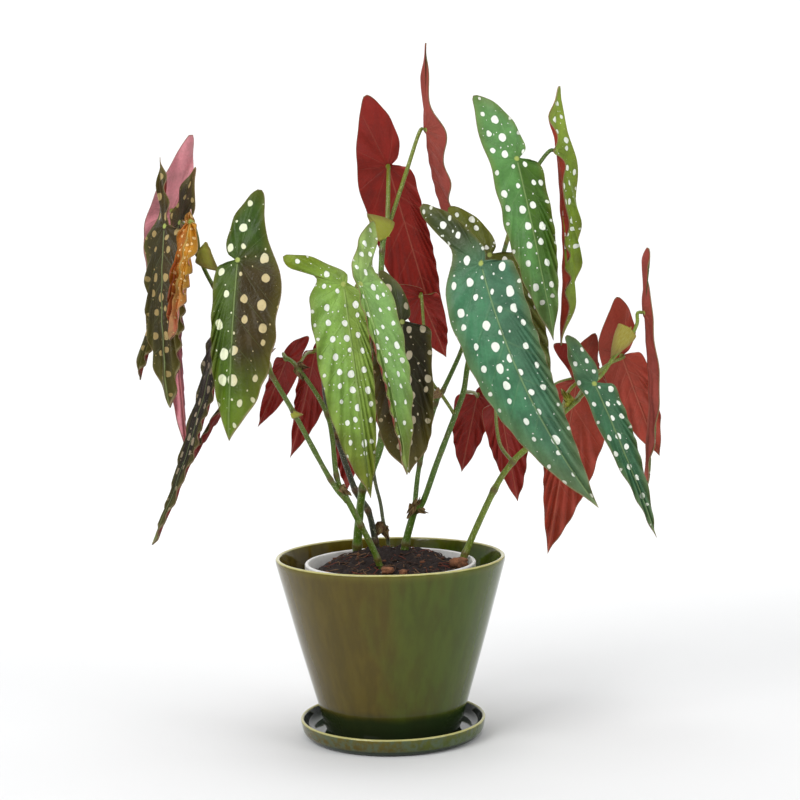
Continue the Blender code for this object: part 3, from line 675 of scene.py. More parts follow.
def blade_tints(leaf, a, b):
    """The upper side's colour and its spots' colour at each point, passing smoothly from part to part. The
    spots on the big half take a darker colour there as painted shade.
    """
    coat = COATS[leaf.coat]
    big = ease(b, -0.02, 0.04)[:, None]
    tip = ease(a, 0.45, 1.0)[:, None]
    lobe = ease(-a, -0.08, 0.16)[:, None]
    tint = display(coat.slim) * (1 - big) + display(coat.big) * big
    tint = tint * (1 - tip) + display(coat.tip) * tip
    tint = tint * (1 - lobe) + display(coat.lobe) * lobe
    # painted shade: the spots on the big half, away from the lobe and the tip, take the darker shaded-half
    # spot colour
    shaded = big * (1 - lobe) * (1 - tip)
    return tint, display(coat.spots) * (1 - shaded) + display(coat.shaded_half_spots) * shaded


def blade(leaf, settings, seed):
    """A blade: a point is the joint plus fractions a along it and b across it. The midrib arches by
    4a(1 - a) times the belly, each half drops with its distance from the midrib, the margin waves and the
    blade puckers between its veins. The under sheet is the same, a thickness lower."""
    length, along, normal, across = leaf_axes(leaf)
    around, rings = settings.around, settings.rings
    edge = margin(leaf, around)
    draw = np.random.default_rng(seed)
    steps = np.arange(around) / around
    waves = max(round(length * 2.5 / leaf.pitch), 5)
    wave = math.tau * (waves * steps + 0.35 * np.sin(math.tau * 3 * steps + draw.uniform(0, 6)))
    edge[:, 1] *= 1 - leaf.scallop * (0.5 + 0.5 * np.cos(wave))
    reach = (np.arange(1, rings + 1) / rings)[:, None]
    a = np.concatenate([[0], (edge[:, 0] * reach).ravel()])
    b = np.concatenate([[0], (edge[:, 1] * reach).ravel()])
    out = np.concatenate([[0], np.repeat(reach, around)])
    ruffle = np.concatenate([[0], np.tile(np.sin(wave + 0.6), rings)])
    side_veins, fan_veins = ribs(a, b)
    forward = ease(a - 0.4 * np.abs(b), 0.02, 0.2)
    pucker = np.cos(math.tau * side_veins) * forward + np.cos(math.tau * fan_veins) * (1 - forward)
    arch = np.where(a > 0, 4 * a * (1 - a), 4 * a)
    fold = math.radians(leaf.fold)
    crease = np.sqrt(b**2 + 0.012**2) - 0.012
    height = (leaf.belly * arch - crease * math.sin(fold)) * length
    height += leaf.frill * ruffle * ease(out, 0.35, 1.0)
    height -= settings.quilting / MM * leaf.pucker * pucker * 4 * out * (1 - out)
    height -= 0.5 * np.exp(-((b * length / 2.2) ** 2)) * forward
    height += ripple(np.column_stack([a, b]) * length, 46, seed, 12) * 0.9 * out
    side = (b * math.cos(fold) + leaf.bow * arch) * length
    sheet = np.array(leaf.joint) + along * (a * length)[:, None] + across * side[:, None]
    half = settings.thickness / MM / 2 * (1 + 0.8 * np.exp(-((b * length / 1.6) ** 2)) * forward)
    points = np.vstack([sheet + normal * level[:, None] for level in (height + half, height - half)]) * MM
    count = len(a)
    quads = grid_quads(rings, around, True, 1)
    rim = np.arange(count - around, count)
    wall = np.column_stack([rim, np.roll(rim, -1), np.roll(rim, -1) + count, rim + count])
    top = fan(np.arange(1, around + 1), 0)
    tint, spots = blade_tints(leaf, a, b)
    under = np.broadcast_to(display(COATS[leaf.coat].under), tint.shape)
    offset = draw.uniform(-50, 50, 2)
    place = np.column_stack([a / SPOT_STRETCH, b]) * length / leaf.spacing + offset
    values = {
        "spot_place": np.vstack([place, place]),
        "veins": np.tile(np.column_stack([side_veins, fan_veins]), (2, 1)),
        "tint": np.vstack([tint, under]),
        "spot_tint": np.vstack([spots, spots]),
        "reach": np.tile(out, 2),
        "joint_distance": np.tile(np.hypot(a, b) * length, 2),
        "midrib_distance": np.tile(np.abs(b) * length + 9 * (1 - ease(a, -0.02, 0.02)), 2),
        "forward": np.tile(forward, 2),
        "underside": np.repeat([0.0, 1.0], count),
    }
    faces = np.vstack([quads, quads[:, ::-1] + count, wall[:, ::-1]])
    return Surface(points, faces, np.vstack([top[:, ::-1], top + count]), values)


# Canes


def shoot_points(shoot, leaves):
    """The shoot's route, carried on to its leaf: up behind the joint, then square on into the blade."""
    if not shoot.leaf:
        return list(shoot.route)
    leaf = leaves[shoot.leaf]
    normal = leaf_axes(leaf)[2]
    joint = np.array(leaf.joint, float)
    return [*shoot.route, joint - normal * STALK_APPROACH, joint - normal * 0.2]


def shoot_surface(shoot, cane, leaves, settings, seed):
    """A shoot: a tube that tapers evenly, swells at each node of its route, and ends rounded."""
    route, gone = smooth_route(shoot_points(shoot, leaves), 1.6)
    share = gone / gone[-1]
    stalk = bool(shoot.leaf)
    nodes = np.array(shoot.route[:1] if stalk else shoot.route, float)
    near = np.linalg.norm(route[:, None] - nodes[None], axis=-1).min(axis=1)
    node = np.exp(-((near / NODE_REACH) ** 2))
    radii = shoot.radii[0] + (shoot.radii[1] - shoot.radii[0]) * share
    radii = radii * (1 + settings.swelling * node)
    radii *= cane.girth * (1 + 0.04 * ripple(route, 14, seed, 10))
    tail = gone[-1] - gone
    radii *= np.sqrt(np.clip(np.minimum(gone, tail) / BLUNT_END, 0.03, 1))
    skin = display(STALK_TINT if stalk and len(shoot.route) <= STALK_POINTS else cane.tint)
    colour = skin * (1 - 0.75 * node[:, None]) + display(NODE_TINT) * 0.75 * node[:, None]
    return tube(route * MM, radii * MM, settings.sides, {"tint": colour, "node": node})


# Soil


def soil_height(x, y):
    """The mix's height: its profile, raised towards the back but not at the pot's wall."""
    radius = np.hypot(x, y)
    distances, heights = zip(*SOIL_HEIGHTS)
    inward = np.clip(1 - (radius / SOIL_RIM[0]) ** 2, 0, None)
    back, high = SOIL_HEAP
    heap = high * np.exp(-(((y - back) / 13) ** 2)) * np.clip(inward * 4, 0, 1)
    return np.interp(radius, distances, heights) + SOIL_TILT * y * inward + heap


def soil_body(settings):
    """The mix: a lumpy disc on a tapering body. Its lumps are smooth noise, less towards the wall."""
    steps, rings = 168, 56
    radius = SOIL_RIM[0] * np.arange(1, rings + 1) / rings
    turn = math.tau * np.arange(steps) / steps
    x, y = (radius[:, None] * f(turn)[None] for f in (np.cos, np.sin))
    x, y = np.append(x.ravel(), 0), np.append(y.ravel(), 0)
    places = np.column_stack([x, y])
    inward = 1 - (np.hypot(x, y) / SOIL_RIM[0]) ** 6
    lumps = ripple(places, 9, 11) + 0.6 * ripple(places, 4.2, 12)
    z = soil_height(x, y) + lumps * settings.lumps / MM * inward
    top = np.column_stack([x, y, z])
    foot_radius, foot_height = SOIL_FOOT
    ring = np.column_stack([np.cos(turn), np.sin(turn)])
    foot = np.column_stack([ring * foot_radius, np.full(steps, foot_height)])
    points = np.vstack([top, foot, [[0, 0, foot_height]]])
    pole = rings * steps
    rim = np.arange(pole - steps, pole)
    low = np.arange(pole + 1, pole + 1 + steps)
    wall = np.column_stack([rim, np.roll(rim, -1), np.roll(low, -1), low])
    tris = np.vstack([fan(np.arange(steps), pole), fan(low, pole + 1 + steps)[:, ::-1]])
    tint = np.broadcast_to(np.array(settings.peat), points.shape)
    quads = np.vstack([grid_quads(rings, steps, True)[:, ::-1], wall[:, ::-1]])
    return Surface(points * MM, quads, tris, {"tint": tint})


def ball():
    """The twelve corners and twenty faces of a regular ball."""
    golden = (1 + math.sqrt(5)) / 2
    one, long = np.meshgrid([-1, 1], [-golden, golden])
    pairs = np.column_stack([np.zeros(4), one.ravel(), long.ravel()])
    corners = unit(np.vstack([np.roll(pairs, shift, axis=1) for shift in range(3)]))
    near = np.linalg.norm(corners[:, None] - corners[None], axis=-1) < 1.1
    i, j, k = np.indices((12, 12, 12))
    trios = np.argwhere((i < j) & (j < k) & near[i, j] & near[j, k] & near[i, k])
    a, b, c = (corners[trios[:, i]] for i in range(3))
    flipped = np.einsum("ij,ij->i", a, np.cross(b, c)) < 0
    trios[flipped] = trios[flipped][:, ::-1]
    return corners, trios


def scatter(draw, count, widest):
    """Places spread evenly over the mix, and its height there."""
    radius, turn = widest * np.sqrt(draw.uniform(0, 1, count)), draw.uniform(0, math.tau, count)
    x, y = radius * np.cos(turn), radius * np.sin(turn)
    return np.column_stack([x, y, soil_height(x, y)])


def crumbs(settings):
    """Loose crumbs: one ball, stretched, turned and dented differently for each place."""
    draw = np.random.default_rng(21)
    corners, trios = ball()
    count = settings.crumbs
    places = scatter(draw, count, 53.5)
    sizes = draw.uniform(0.6, 1.0, (count, 1)) * draw.choice([0.8, 1.3, 2.1], (count, 1), p=[0.5, 0.35, 0.15])
    shapes = sizes * draw.uniform([0.8, 0.8, 0.45], [1.5, 1.5, 0.8], (count, 3))
    turn = draw.uniform(0, math.tau, count)
    local = corners[None] * shapes[:, None] * draw.uniform(0.8, 1.2, (count, 12, 1))
    x = local[..., 0] * np.cos(turn)[:, None] - local[..., 1] * np.sin(turn)[:, None]
    y = local[..., 0] * np.sin(turn)[:, None] + local[..., 1] * np.cos(turn)[:, None]
    points = np.stack([x, y, local[..., 2]], axis=-1) + places[:, None]
    faces = (trios[None] + np.arange(count)[:, None, None] * 12).reshape(-1, 3)
    kinds = np.array([settings.peat, (0.05, 0.028, 0.016), (0.12, 0.045, 0.02), (0.42, 0.40, 0.34)])
    tint = np.repeat(kinds[draw.choice(4, count, p=[0.55, 0.27, 0.15, 0.03])], 12, axis=0)
    return Surface(points.reshape(-1, 3) * MM, np.zeros((0, 4), int), faces, {"tint": tint})


def fibres(settings):
    """Loose fibres: thin bent tubes lying on the mix."""
    draw = np.random.default_rng(31)
    made = []
    for place in scatter(draw, settings.fibres, 48):
        turn, half, bend = draw.uniform(0, math.tau), draw.uniform(2.5, 8), draw.uniform(-0.3, 0.3)
        t = np.linspace(-1, 1, 7)
        way, side = np.array([math.cos(turn), math.sin(turn)]), np.array([-math.sin(turn), math.cos(turn)])
        flat = place[:2] + way * (t * half)[:, None] + side * (t**2 * half * bend)[:, None]
        flat *= np.minimum(1, 53 / np.maximum(np.linalg.norm(flat, axis=1), 1))[:, None]
        z = soil_height(flat[:, 0], flat[:, 1]) + 0.9 + 0.5 * np.sin(t * 3 + turn)
        tint = np.array([(0.15, 0.035, 0.02), (0.07, 0.035, 0.022), (0.18, 0.10, 0.05)])[draw.integers(3)]
        route = np.column_stack([flat, z]) * MM
        radii = np.linspace(1, 0.5, 7) * draw.uniform(0.18, 0.4) * MM
        made.append(tube(route, radii, 5, {"tint": np.broadcast_to(tint, (7, 3))}))
    return made


def bark_chip(centre, half_sizes, turn, seed, colour):
    """A chip: a ball flattened into a rough block by rounding its corners off a box, with dents in layers."""
    steps, rings = 36, 22
    rise = math.pi * np.arange(1, rings) / rings
    around = math.tau * np.arange(steps) / steps
    ways = np.stack(np.broadcast_arrays(
        np.sin(rise)[:, None] * np.cos(around), np.sin(rise)[:, None] * np.sin(around), np.cos(rise)[:, None]
    ), axis=-1).reshape(-1, 3)
    ways = np.vstack([ways, [[0, 0, 1], [0, 0, -1]]])
    blocky = ways / (np.abs(ways) ** 4).sum(axis=1, keepdims=True) ** 0.25
    dents = 1 + 0.10 * ripple(ways, 0.9, seed) + 0.05 * ripple(ways * [1, 1, 4], 0.5, seed + 1)
    local = blocky * dents[:, None] * np.array(half_sizes) * 0.92
    angle = math.radians(turn)
    x = local[:, 0] * math.cos(angle) - local[:, 1] * math.sin(angle)
    y = local[:, 0] * math.sin(angle) + local[:, 1] * math.cos(angle)
    points = (np.column_stack([x, y, local[:, 2]]) + np.array(centre)) * MM
    ends = (rings - 1) * steps
    tris = np.vstack([fan(np.arange(steps), ends)[:, ::-1], fan(np.arange(ends - steps, ends), ends + 1)])
    tint = np.broadcast_to(colour, points.shape)
    return Surface(points, grid_quads(rings - 1, steps, True), tris, {"tint": tint})


# Finishes


class Amount:
    """A shader socket that holds a number. Arithmetic on it adds Math nodes."""

    def __init__(self, finish, socket):
        self.finish = finish
        self.socket = socket

    def worked(self, operation, first, second=None):
        sockets = {0: first} if second is None else {0: first, 1: second}
        node = self.finish.node("ShaderNodeMath", {"operation": operation}, sockets)
        return Amount(self.finish, node.outputs[0])

    def __add__(self, other):
        return self.worked("ADD", self, other)

    def __sub__(self, other):
        return self.worked("SUBTRACT", self, other)

    def __rsub__(self, other):
        return self.worked("SUBTRACT", other, self)

    def __mul__(self, other):
        return self.worked("MULTIPLY", self, other)

    def __truediv__(self, other):
        return self.worked("DIVIDE", self, other)

    def __pow__(self, other):
        return self.worked("POWER", self, other)

    __radd__ = __add__
    __rmul__ = __mul__

    def most(self, other):
        return self.worked("MAXIMUM", self, other)

    def from_whole(self):
        """The distance to the nearest whole number, 0 to 0.5."""
        return self.worked("PINGPONG", self, 0.5)


class Finish:
    """A node material with one Principled shader, and the one way in which its nodes are added."""

    def __init__(self, name, constants):
        self.material = bpy.data.materials.new(name)
        self.material.use_nodes = True
        self.tree = self.material.node_tree
        self.shader = self.tree.nodes["Principled BSDF"]
        for key, value in constants.items():
            self.shader.inputs[key].default_value = value

    def node(self, kind, settings, sockets):
        """A node of that kind: its settings first, then each socket's value or link."""
        made = self.tree.nodes.new(kind)
        for key, value in settings.items():
            setattr(made, key, value)
        for key, value in sockets.items():
            self.feed(made.inputs[key], value)
        return made

    def feed(self, socket, value):
        if isinstance(value, Amount):
            value = value.socket
        if isinstance(value, bpy.types.NodeSocket):
            self.tree.links.new(value, socket)
        elif hasattr(value, "__len__") and len(value) == 3 and len(socket.default_value) == 4:
            socket.default_value = (*value, 1)
        else:
            socket.default_value = value

    def shade(self, sockets):
        """Feeds the shader's own sockets."""
        for key, value in sockets.items():
            self.feed(self.shader.inputs[key], value)

    def objects_place(self):
        return self.node("ShaderNodeTexCoord", {}, {}).outputs["Object"]

    def map_place(self, name):
        return self.node("ShaderNodeUVMap", {"uv_map": name}, {}).outputs["UV"]

    def amount(self, name):
        """A number that the mesh holds at its points."""
        return Amount(self, self.node("ShaderNodeAttribute", {"attribute_name": name}, {}).outputs["Fac"])

    def colour(self, name):
        """A colour that the mesh holds at its points."""
        return self.node("ShaderNodeAttribute", {"attribute_name": name}, {}).outputs["Color"]

    def axes(self, vector):
        """The three numbers of a vector."""
        split = self.node("ShaderNodeSeparateXYZ", {}, {0: vector})
        return [Amount(self, socket) for socket in split.outputs]

    def vectors(self, operation, *vectors):
        """Vector Math on those vectors."""
        sockets = dict(enumerate(vectors))
        return self.node("ShaderNodeVectorMath", {"operation": operation}, sockets).outputs[0]

    def scaled(self, vector, factors):
        return self.vectors("MULTIPLY", vector, factors)

    def shaken(self, vector, scale, amount):
        """The vector moved a little by noise, so that what is drawn on it wobbles."""
        noise = self.node("ShaderNodeTexNoise", {}, {"Vector": vector, "Scale": scale, "Detail": 1.0})
        centred = self.vectors("SUBTRACT", noise.outputs["Color"], (0.5,) * 3)
        return self.vectors("MULTIPLY_ADD", centred, (amount,) * 3, vector)

    def noise(self, vector, scale, detail=2.0, rough=0.5):
        node = self.node(
            "ShaderNodeTexNoise", {}, {"Vector": vector, "Scale": scale, "Detail": detail, "Roughness": rough}
        )
        return Amount(self, node.outputs["Fac"])

    def cells(self, vector, scale, random):
        """Flat cells: the distance to the nearest middle, and a number of that cell's own."""
        node = self.node(
            "ShaderNodeTexVoronoi", {"voronoi_dimensions": "2D"},
            {"Vector": vector, "Scale": scale, "Randomness": random},
        )
        return Amount(self, node.outputs["Distance"]), self.axes(node.outputs["Color"])[0]

    def between(self, amount, low, high, bottom=0.0, top=1.0):
        """bottom up to low, top from high on, and a smooth step between."""
        node = self.node(
            "ShaderNodeMapRange", {"interpolation_type": "SMOOTHSTEP"},
            {"Value": amount, "From Min": low, "From Max": high, "To Min": bottom, "To Max": top},
        )
        return Amount(self, node.outputs["Result"])

    def mix(self, factor, first, second, blend="MIX"):
        """Two colours mixed: the first where the factor is 0, the second where it is 1."""
        node = self.node(
            "ShaderNodeMix", {"data_type": "RGBA", "blend_type": blend}, {0: factor, 6: first, 7: second}
        )
        return node.outputs[2]

    def grey(self, amount):
        """A grey of that brightness."""
        return self.node("ShaderNodeCombineColor", {}, {0: amount, 1: amount, 2: amount}).outputs[0]

    def relief(self, height, distance, strength=1.0):
        """A bump of that height, in metres, on the shader's normal."""
        node = self.node(
            "ShaderNodeBump", {}, {"Height": height, "Distance": distance, "Strength": strength}
        )
        self.shade({"Normal": node.outputs["Normal"]})


def leaf_veins(leaf, reach):
    """How far a point is on a vein, and on the midrib. Veins are where the mesh's vein numbers are whole."""
    side_veins, fan_veins, _ = leaf.axes(leaf.map_place("veins"))
    forward = leaf.amount("forward")
    thin = leaf.between(reach, 0.1, 1.0, 0.075, 0.03)
    side_line = (1 - leaf.between(side_veins.from_whole() / thin, 0.2, 1.0)) * forward
    fan_line = (1 - leaf.between(fan_veins.from_whole() / thin, 0.2, 1.0)) * (1 - forward)
    midrib = 1 - leaf.between(leaf.amount("midrib_distance"), 0.2, 0.9)
    return side_line.most(fan_line) * leaf.between(reach, 0.7, 1.0, 1.0, 0.35), midrib


def leaf_spots(leaf, settings, reach, midrib):
    """The spots, and a ring about each large one. A large spot is a disc in each wide cell, a small one in
    some narrow cells. Both shrink towards the joint and the margin, and none lies on the midrib."""
    wobbly = leaf.shaken(leaf.map_place("spot_place"), 2.4, 0.16)
    size = leaf.between(reach, 0.06, 0.3, 0.35, 1.0) * leaf.between(reach, 0.74, 0.97, 1.0, 0.5)
    distance, own = leaf.cells(wobbly, 1.0, 0.55)
    beyond = distance - (own * 0.10 + settings.spot_size) * size
    large = 1 - leaf.between(beyond, -0.02, 0.02)
    small_distance, small_own = leaf.cells(wobbly, 2.6, 0.9)
    small = leaf.between((small_own - 0.62) * 0.42 * size - small_distance, -0.02, 0.03)
    spots = large.most(small * leaf.between(beyond, 0.1, 0.16)) * (1 - midrib)
    return spots, 1 - leaf.between(beyond, 0.02, 0.09)


def leaf_finish(settings):
    """Green above with pale spots between the veins, red below with paler veins, and a thin pale margin."""
    leaf = Finish("spotted_leaf", {"Specular IOR Level": 0.27})
    place = leaf.objects_place()
    reach, under = leaf.amount("reach"), leaf.amount("underside")
    veins, midrib = leaf_veins(leaf, reach)
    spots, ring = leaf_spots(leaf, settings, reach, midrib)
    mottle = leaf.noise(place, 90.0, 3.0)
    fine = leaf.noise(place, 600.0, 3.0, 0.6)
    shade = leaf.grey(leaf.between(mottle, 0.3, 0.7, 0.80, 1.14) * leaf.between(fine, 0.3, 0.7, 0.92, 1.06))
    tint, spot_tint = leaf.mix(1.0, leaf.colour("tint"), shade, "MULTIPLY"), leaf.colour("spot_tint")
    upper = leaf.mix(veins * 0.22, tint, leaf.mix(0.16, tint, (0.55, 0.75, 0.30)))
    upper = leaf.mix(midrib * 0.8, upper, leaf.mix(0.30, tint, (0.50, 0.65, 0.25)))
    upper = leaf.mix(ring * 0.3, upper, leaf.mix(1.0, tint, (0.45, 0.55, 0.5), "MULTIPLY"))
    pale = leaf.mix(leaf.between(fine, 0.5, 0.75) * 0.25, spot_tint, leaf.mix(0.5, spot_tint, tint))
    upper = leaf.mix(spots, upper, pale)
    blotch = leaf.mix(1.0, tint, (0.6, 0.4, 0.5), "MULTIPLY")
    lower = leaf.mix(leaf.between(mottle, 0.35, 0.7) * 0.35, tint, blotch)
    lower = leaf.mix((veins * 0.18).most(midrib * 0.45), lower, leaf.mix(0.35, tint, (0.80, 0.35, 0.22)))
    both = leaf.mix(under, upper, lower)
    both = leaf.mix(leaf.between(reach, 0.72, 1.0) * (1 - under) * 0.3, both, (0.16, 0.14, 0.01))
    both = leaf.mix(leaf.between(reach, 0.978, 0.997) * 0.6, both, tuple(settings.margin))
    both = leaf.mix(1 - leaf.between(leaf.amount("joint_distance"), 1.0, 2.2), both, tuple(settings.joint))
    leaf.shade({"Base Color": both, "Roughness": leaf.between(mottle, 0.3, 0.7, 0.34, 0.46)})
    groove = (veins * 0.4).most(midrib) * (under * 2 - 1)
    leaf.relief(groove + spots * (1 - under) * 0.25 + fine * 0.9, 0.0006, 0.9)
    return leaf.material


def cane_finish():
    """Green skin with fine lengthwise streaks and pale dots, browner at the nodes."""
    cane = Finish("cane_skin", {"Coat Roughness": 0.3})
    place = cane.objects_place()
    streaks = cane.noise(cane.scaled(place, (1.0, 1.0, 0.16)), 900.0, 3.0)
    blotch = cane.noise(place, 120.0, 2.0)
    node = cane.amount("node")
    tone = cane.between(streaks, 0.3, 0.7, 0.78, 1.15)
    skin = cane.mix(1.0, cane.colour("tint"), cane.grey(tone), "MULTIPLY")
    skin = cane.mix(cane.between(blotch, 0.55, 0.75) * 0.35, skin, (0.16, 0.10, 0.03))
    pale = cane.between(cane.noise(place, 1300.0, 0.0), 0.68, 0.74) * (1 - node)
    skin = cane.mix(pale * 0.5, skin, (0.60, 0.62, 0.36))
    cane.shade({"Base Color": skin, "Roughness": cane.between(streaks, 0.2, 0.8, 0.32, 0.5)})
    cane.relief(streaks * 0.6 + cane.noise(place, 420.0, 2.0) * node * 2, 0.0003)
    return cane.material


def glaze_finish(name, settings, rim_height, rim_width, foot_height, dark_inside=0.0):
    """Olive glaze, greener to one side, yellow just below the rim, with a pale line on the rim that is partly
    thin glaze and partly a painted highlight, and with faint runs and pinholes. Below foot_height it is
    darker, painted shade at the bottom of the planter. Within the radius dark_inside it is painted near black
    as shade under the planter, and outside that radius its grey-green clouds are partly mottled glaze and
    partly a painted reflection of the floor.
    All sizes are in metres."""
    glaze = Finish(name, {"Specular IOR Level": 0.32})
    place = glaze.objects_place()
    x, y, z = glaze.axes(place)
    runs = glaze.noise(glaze.scaled(place, (1.0, 1.0, 0.22)), 38.0, 3.0)
    streaks = glaze.noise(glaze.scaled(place, (1.0, 1.0, 0.06)), 150.0, 3.0, 0.6)
    greener = glaze.between(x * 9 + runs * 1.4 + streaks * 0.5, 0.65, 1.45)
    body = glaze.mix(greener, tuple(settings.glaze), tuple(settings.glaze_green))
    body = glaze.mix(glaze.between(runs, 0.35, 0.7) * 0.3, body, (0.085, 0.055, 0.004))
    body = glaze.mix(1.0, body, glaze.grey(glaze.between(streaks, 0.3, 0.7, 0.84, 1.08)), "MULTIPLY")
    body = glaze.mix(glaze.between(z, rim_height - 0.007, rim_height) * 0.35, body, (0.16, 0.14, 0.02))
    # painted shade: below foot_height the glaze turns near black, standing for the shade at the bottom of the
    # planter
    foot = glaze.between(z + runs * 0.006, foot_height - 0.010, foot_height)
    body = glaze.mix((1 - foot) * 0.9, body, (0.014, 0.026, 0.010))
    if dark_inside:
        # painted shade: within dark_inside the saucer is near black, standing for the shade under the planter
        outside = glaze.between((x * x + y * y) ** 0.5, dark_inside, dark_inside + 0.001)
        # grey-green clouds: partly mottled glaze and partly a painted reflection of the pale floor
        clouds_and_reflection = glaze.between(glaze.noise(place, 240.0, 4.0), 0.35, 0.65) * 0.8
        mottling_and_reflection = glaze.mix(clouds_and_reflection, body, (0.075, 0.105, 0.060))
        body = glaze.mix(outside, (0.014, 0.026, 0.010), mottling_and_reflection)
    # a pale line on the rim: partly glaze thinning on the edge, partly a painted highlight
    edge = z + glaze.noise(place, 160.0, 1.0) * 0.0006
    rim = glaze.between(edge, rim_height - rim_width, rim_height - rim_width * 0.35)
    body = glaze.mix(rim, body, tuple(settings.rim))
    speck = glaze.between(glaze.noise(place, 1500.0, 0.0), 0.76, 0.80)
    body = glaze.mix(speck * 0.35, body, (0.02, 0.02, 0.01))
    glaze.shade({"Base Color": body, "Roughness": glaze.between(runs, 0.3, 0.7, 0.04, 0.09)})
    glaze.relief(glaze.noise(place, 55.0, 2.0) + speck * -0.1, 0.0005, 0.35)
    return glaze.material


def plastic_finish(settings):
    """White moulded plastic with scuffs and a little soil along the rim."""
    plastic = Finish("white_plastic", {"Specular IOR Level": 0.45})
    place = plastic.objects_place()
    scuffs = plastic.noise(plastic.scaled(place, (1.0, 1.0, 3.0)), 210.0, 4.0, 0.65)
    dirt = plastic.between(plastic.noise(place, 90.0, 4.0, 0.7), 0.58, 0.72)
    body = plastic.mix(plastic.between(scuffs, 0.45, 0.7) * 0.18, tuple(settings.plastic), (0.60, 0.59, 0.55))
    body = plastic.mix(dirt * 0.3, body, (0.30, 0.24, 0.18))
    plastic.shade({"Base Color": body, "Roughness": plastic.between(scuffs, 0.3, 0.7, 0.32, 0.5)})
    plastic.relief(scuffs, 0.00015)
    return plastic.material


def crumbly_finish(name, grain, depth):
    """A rough, crumbly stuff in the colour that its points hold."""
    crumbly = Finish(name, {"Specular IOR Level": 0.3})
    place = crumbly.objects_place()
    grit = crumbly.noise(place, grain, 5.0, 0.7)
    tone = crumbly.between(grit, 0.25, 0.75, 0.45, 1.7)
    body = crumbly.mix(1.0, crumbly.colour("tint"), crumbly.grey(tone), "MULTIPLY")
    crumbly.shade({"Base Color": body, "Roughness": crumbly.between(grit, 0.2, 0.8, 0.7, 0.98)})
    crumbly.relief(grit, depth)
    return crumbly.material


def stipule_finish():
    """A papery sheath: pale green, browner towards its margin, with fine ribs."""
    papery = Finish("papery_sheath", {"Specular IOR Level": 0.3})
    place = papery.map_place("spot_place")
    fine = papery.noise(papery.scaled(place, (0.12, 1.0, 1.0)), 26.0, 2.0)
    body = papery.mix(papery.between(fine, 0.35, 0.7) * 0.5, papery.colour("tint"), (0.42, 0.40, 0.13))
    body = papery.mix(papery.between(papery.amount("reach"), 0.6, 1.0) * 0.5, body, (0.22, 0.13, 0.05))
    papery.shade({"Base Color": body, "Roughness": papery.between(fine, 0.3, 0.7, 0.5, 0.7)})
    papery.relief(fine, 0.0002)
    return papery.material


# Operators


class BEGONIA_OT_stage(bpy.types.Operator):
    """Lays the pale floor and backdrop, and sets the lights and the camera."""

    bl_idname = "begonia.stage"
    bl_label = "Stage"

    def execute(self, context):
        settings = context.scene.begonia_stage
        lay_floor(settings)
        for light in LIGHTS:
            hang_light(*light)
        light_world(settings)
        set_camera(settings)
        context.scene.view_settings.view_transform = "Standard"
        return {"FINISHED"}


class BEGONIA_OT_saucer(bpy.types.Operator):
    """Turns the glazed saucer."""

    bl_idname = "begonia.saucer"
    bl_label = "Saucer"

    def execute(self, context):
        settings = context.scene.begonia_pot
        glaze = glaze_finish(
            "saucer_glaze", settings, rim_height=0.013, rim_width=0.0012, foot_height=0.0, dark_inside=0.0625
        )
        piece("saucer", [turned(SAUCER, settings.steps)], glaze, ["saucer"])
        return {"FINISHED"}


class BEGONIA_OT_planter(bpy.types.Operator):
    """Turns the glazed planter."""

    bl_idname = "begonia.planter"
    bl_label = "Planter"

    def execute(self, context):
        settings = context.scene.begonia_pot
        glaze = glaze_finish("planter_glaze", settings, rim_height=0.127, rim_width=0.001, foot_height=0.032)
        piece("planter", [turned(PLANTER, settings.steps)], glaze, ["planter"])
        return {"FINISHED"}


class BEGONIA_OT_nursery_pot(bpy.types.Operator):
    """Turns the white plastic pot that holds the mix."""

    bl_idname = "begonia.nursery_pot"
    bl_label = "Nursery pot"

    def execute(self, context):
        settings = context.scene.begonia_pot
        plastic = plastic_finish(settings)
        piece("nursery_pot", [turned(NURSERY_POT, settings.steps)], plastic, ["nursery_pot"])
        return {"FINISHED"}


class BEGONIA_OT_soil(bpy.types.Operator):
    """Fills the pot with potting mix, with loose crumbs and fibres on it."""

    bl_idname = "begonia.soil"
    bl_label = "Potting mix"

    def execute(self, context):
        settings = context.scene.begonia_soil
        mix = crumbly_finish("potting_mix", 620.0, 0.0008)
        piece("potting_soil", [soil_body(settings)], mix, ["potting_soil"])
        piece("loose_crumbs", [crumbs(settings)], mix, [])
        piece("loose_fibres", fibres(settings), mix, [])
        return {"FINISHED"}


class BEGONIA_OT_bark(bpy.types.Operator):
    """Lays the bark chips on the mix."""

    bl_idname = "begonia.bark"
    bl_label = "Bark chips"

    def execute(self, context):
        bark = crumbly_finish("bark", 380.0, 0.0012)
        colour = np.array(context.scene.begonia_soil.bark)
        for seed, (name, (centre, half_sizes, turn)) in enumerate(BARK_CHIPS.items(), 40):
            piece(name, [bark_chip(centre, half_sizes, turn, seed, colour)], bark, [name])
        return {"FINISHED"}


class BEGONIA_OT_canes(bpy.types.Operator):
    """Grows the canes with their branches and leaf stalks."""

    bl_idname = "begonia.canes"
    bl_label = "Canes"

    def execute(self, context):
        settings = context.scene.begonia_cane
        leaves = {leaf.name: leaf for leaf in LEAVES}
        skin = cane_finish()
        for name, cane in CANES.items():
            numbered = enumerate(cane.shoots, 50)
            shoots = [shoot_surface(shoot, cane, leaves, settings, seed) for seed, shoot in numbered]
            piece(name, shoots, skin, [name])
        return {"FINISHED"}


class BEGONIA_OT_leaves(bpy.types.Operator):
    """Grows the spotted leaf blades."""

    bl_idname = "begonia.leaves"
    bl_label = "Leaves"

    def execute(self, context):
        settings = context.scene.begonia_leaf
        spotted = leaf_finish(settings)
        for seed, leaf in enumerate(LEAVES, 100):
            piece(leaf.name, [blade(leaf, settings, seed)], spotted, [leaf.name])
        return {"FINISHED"}


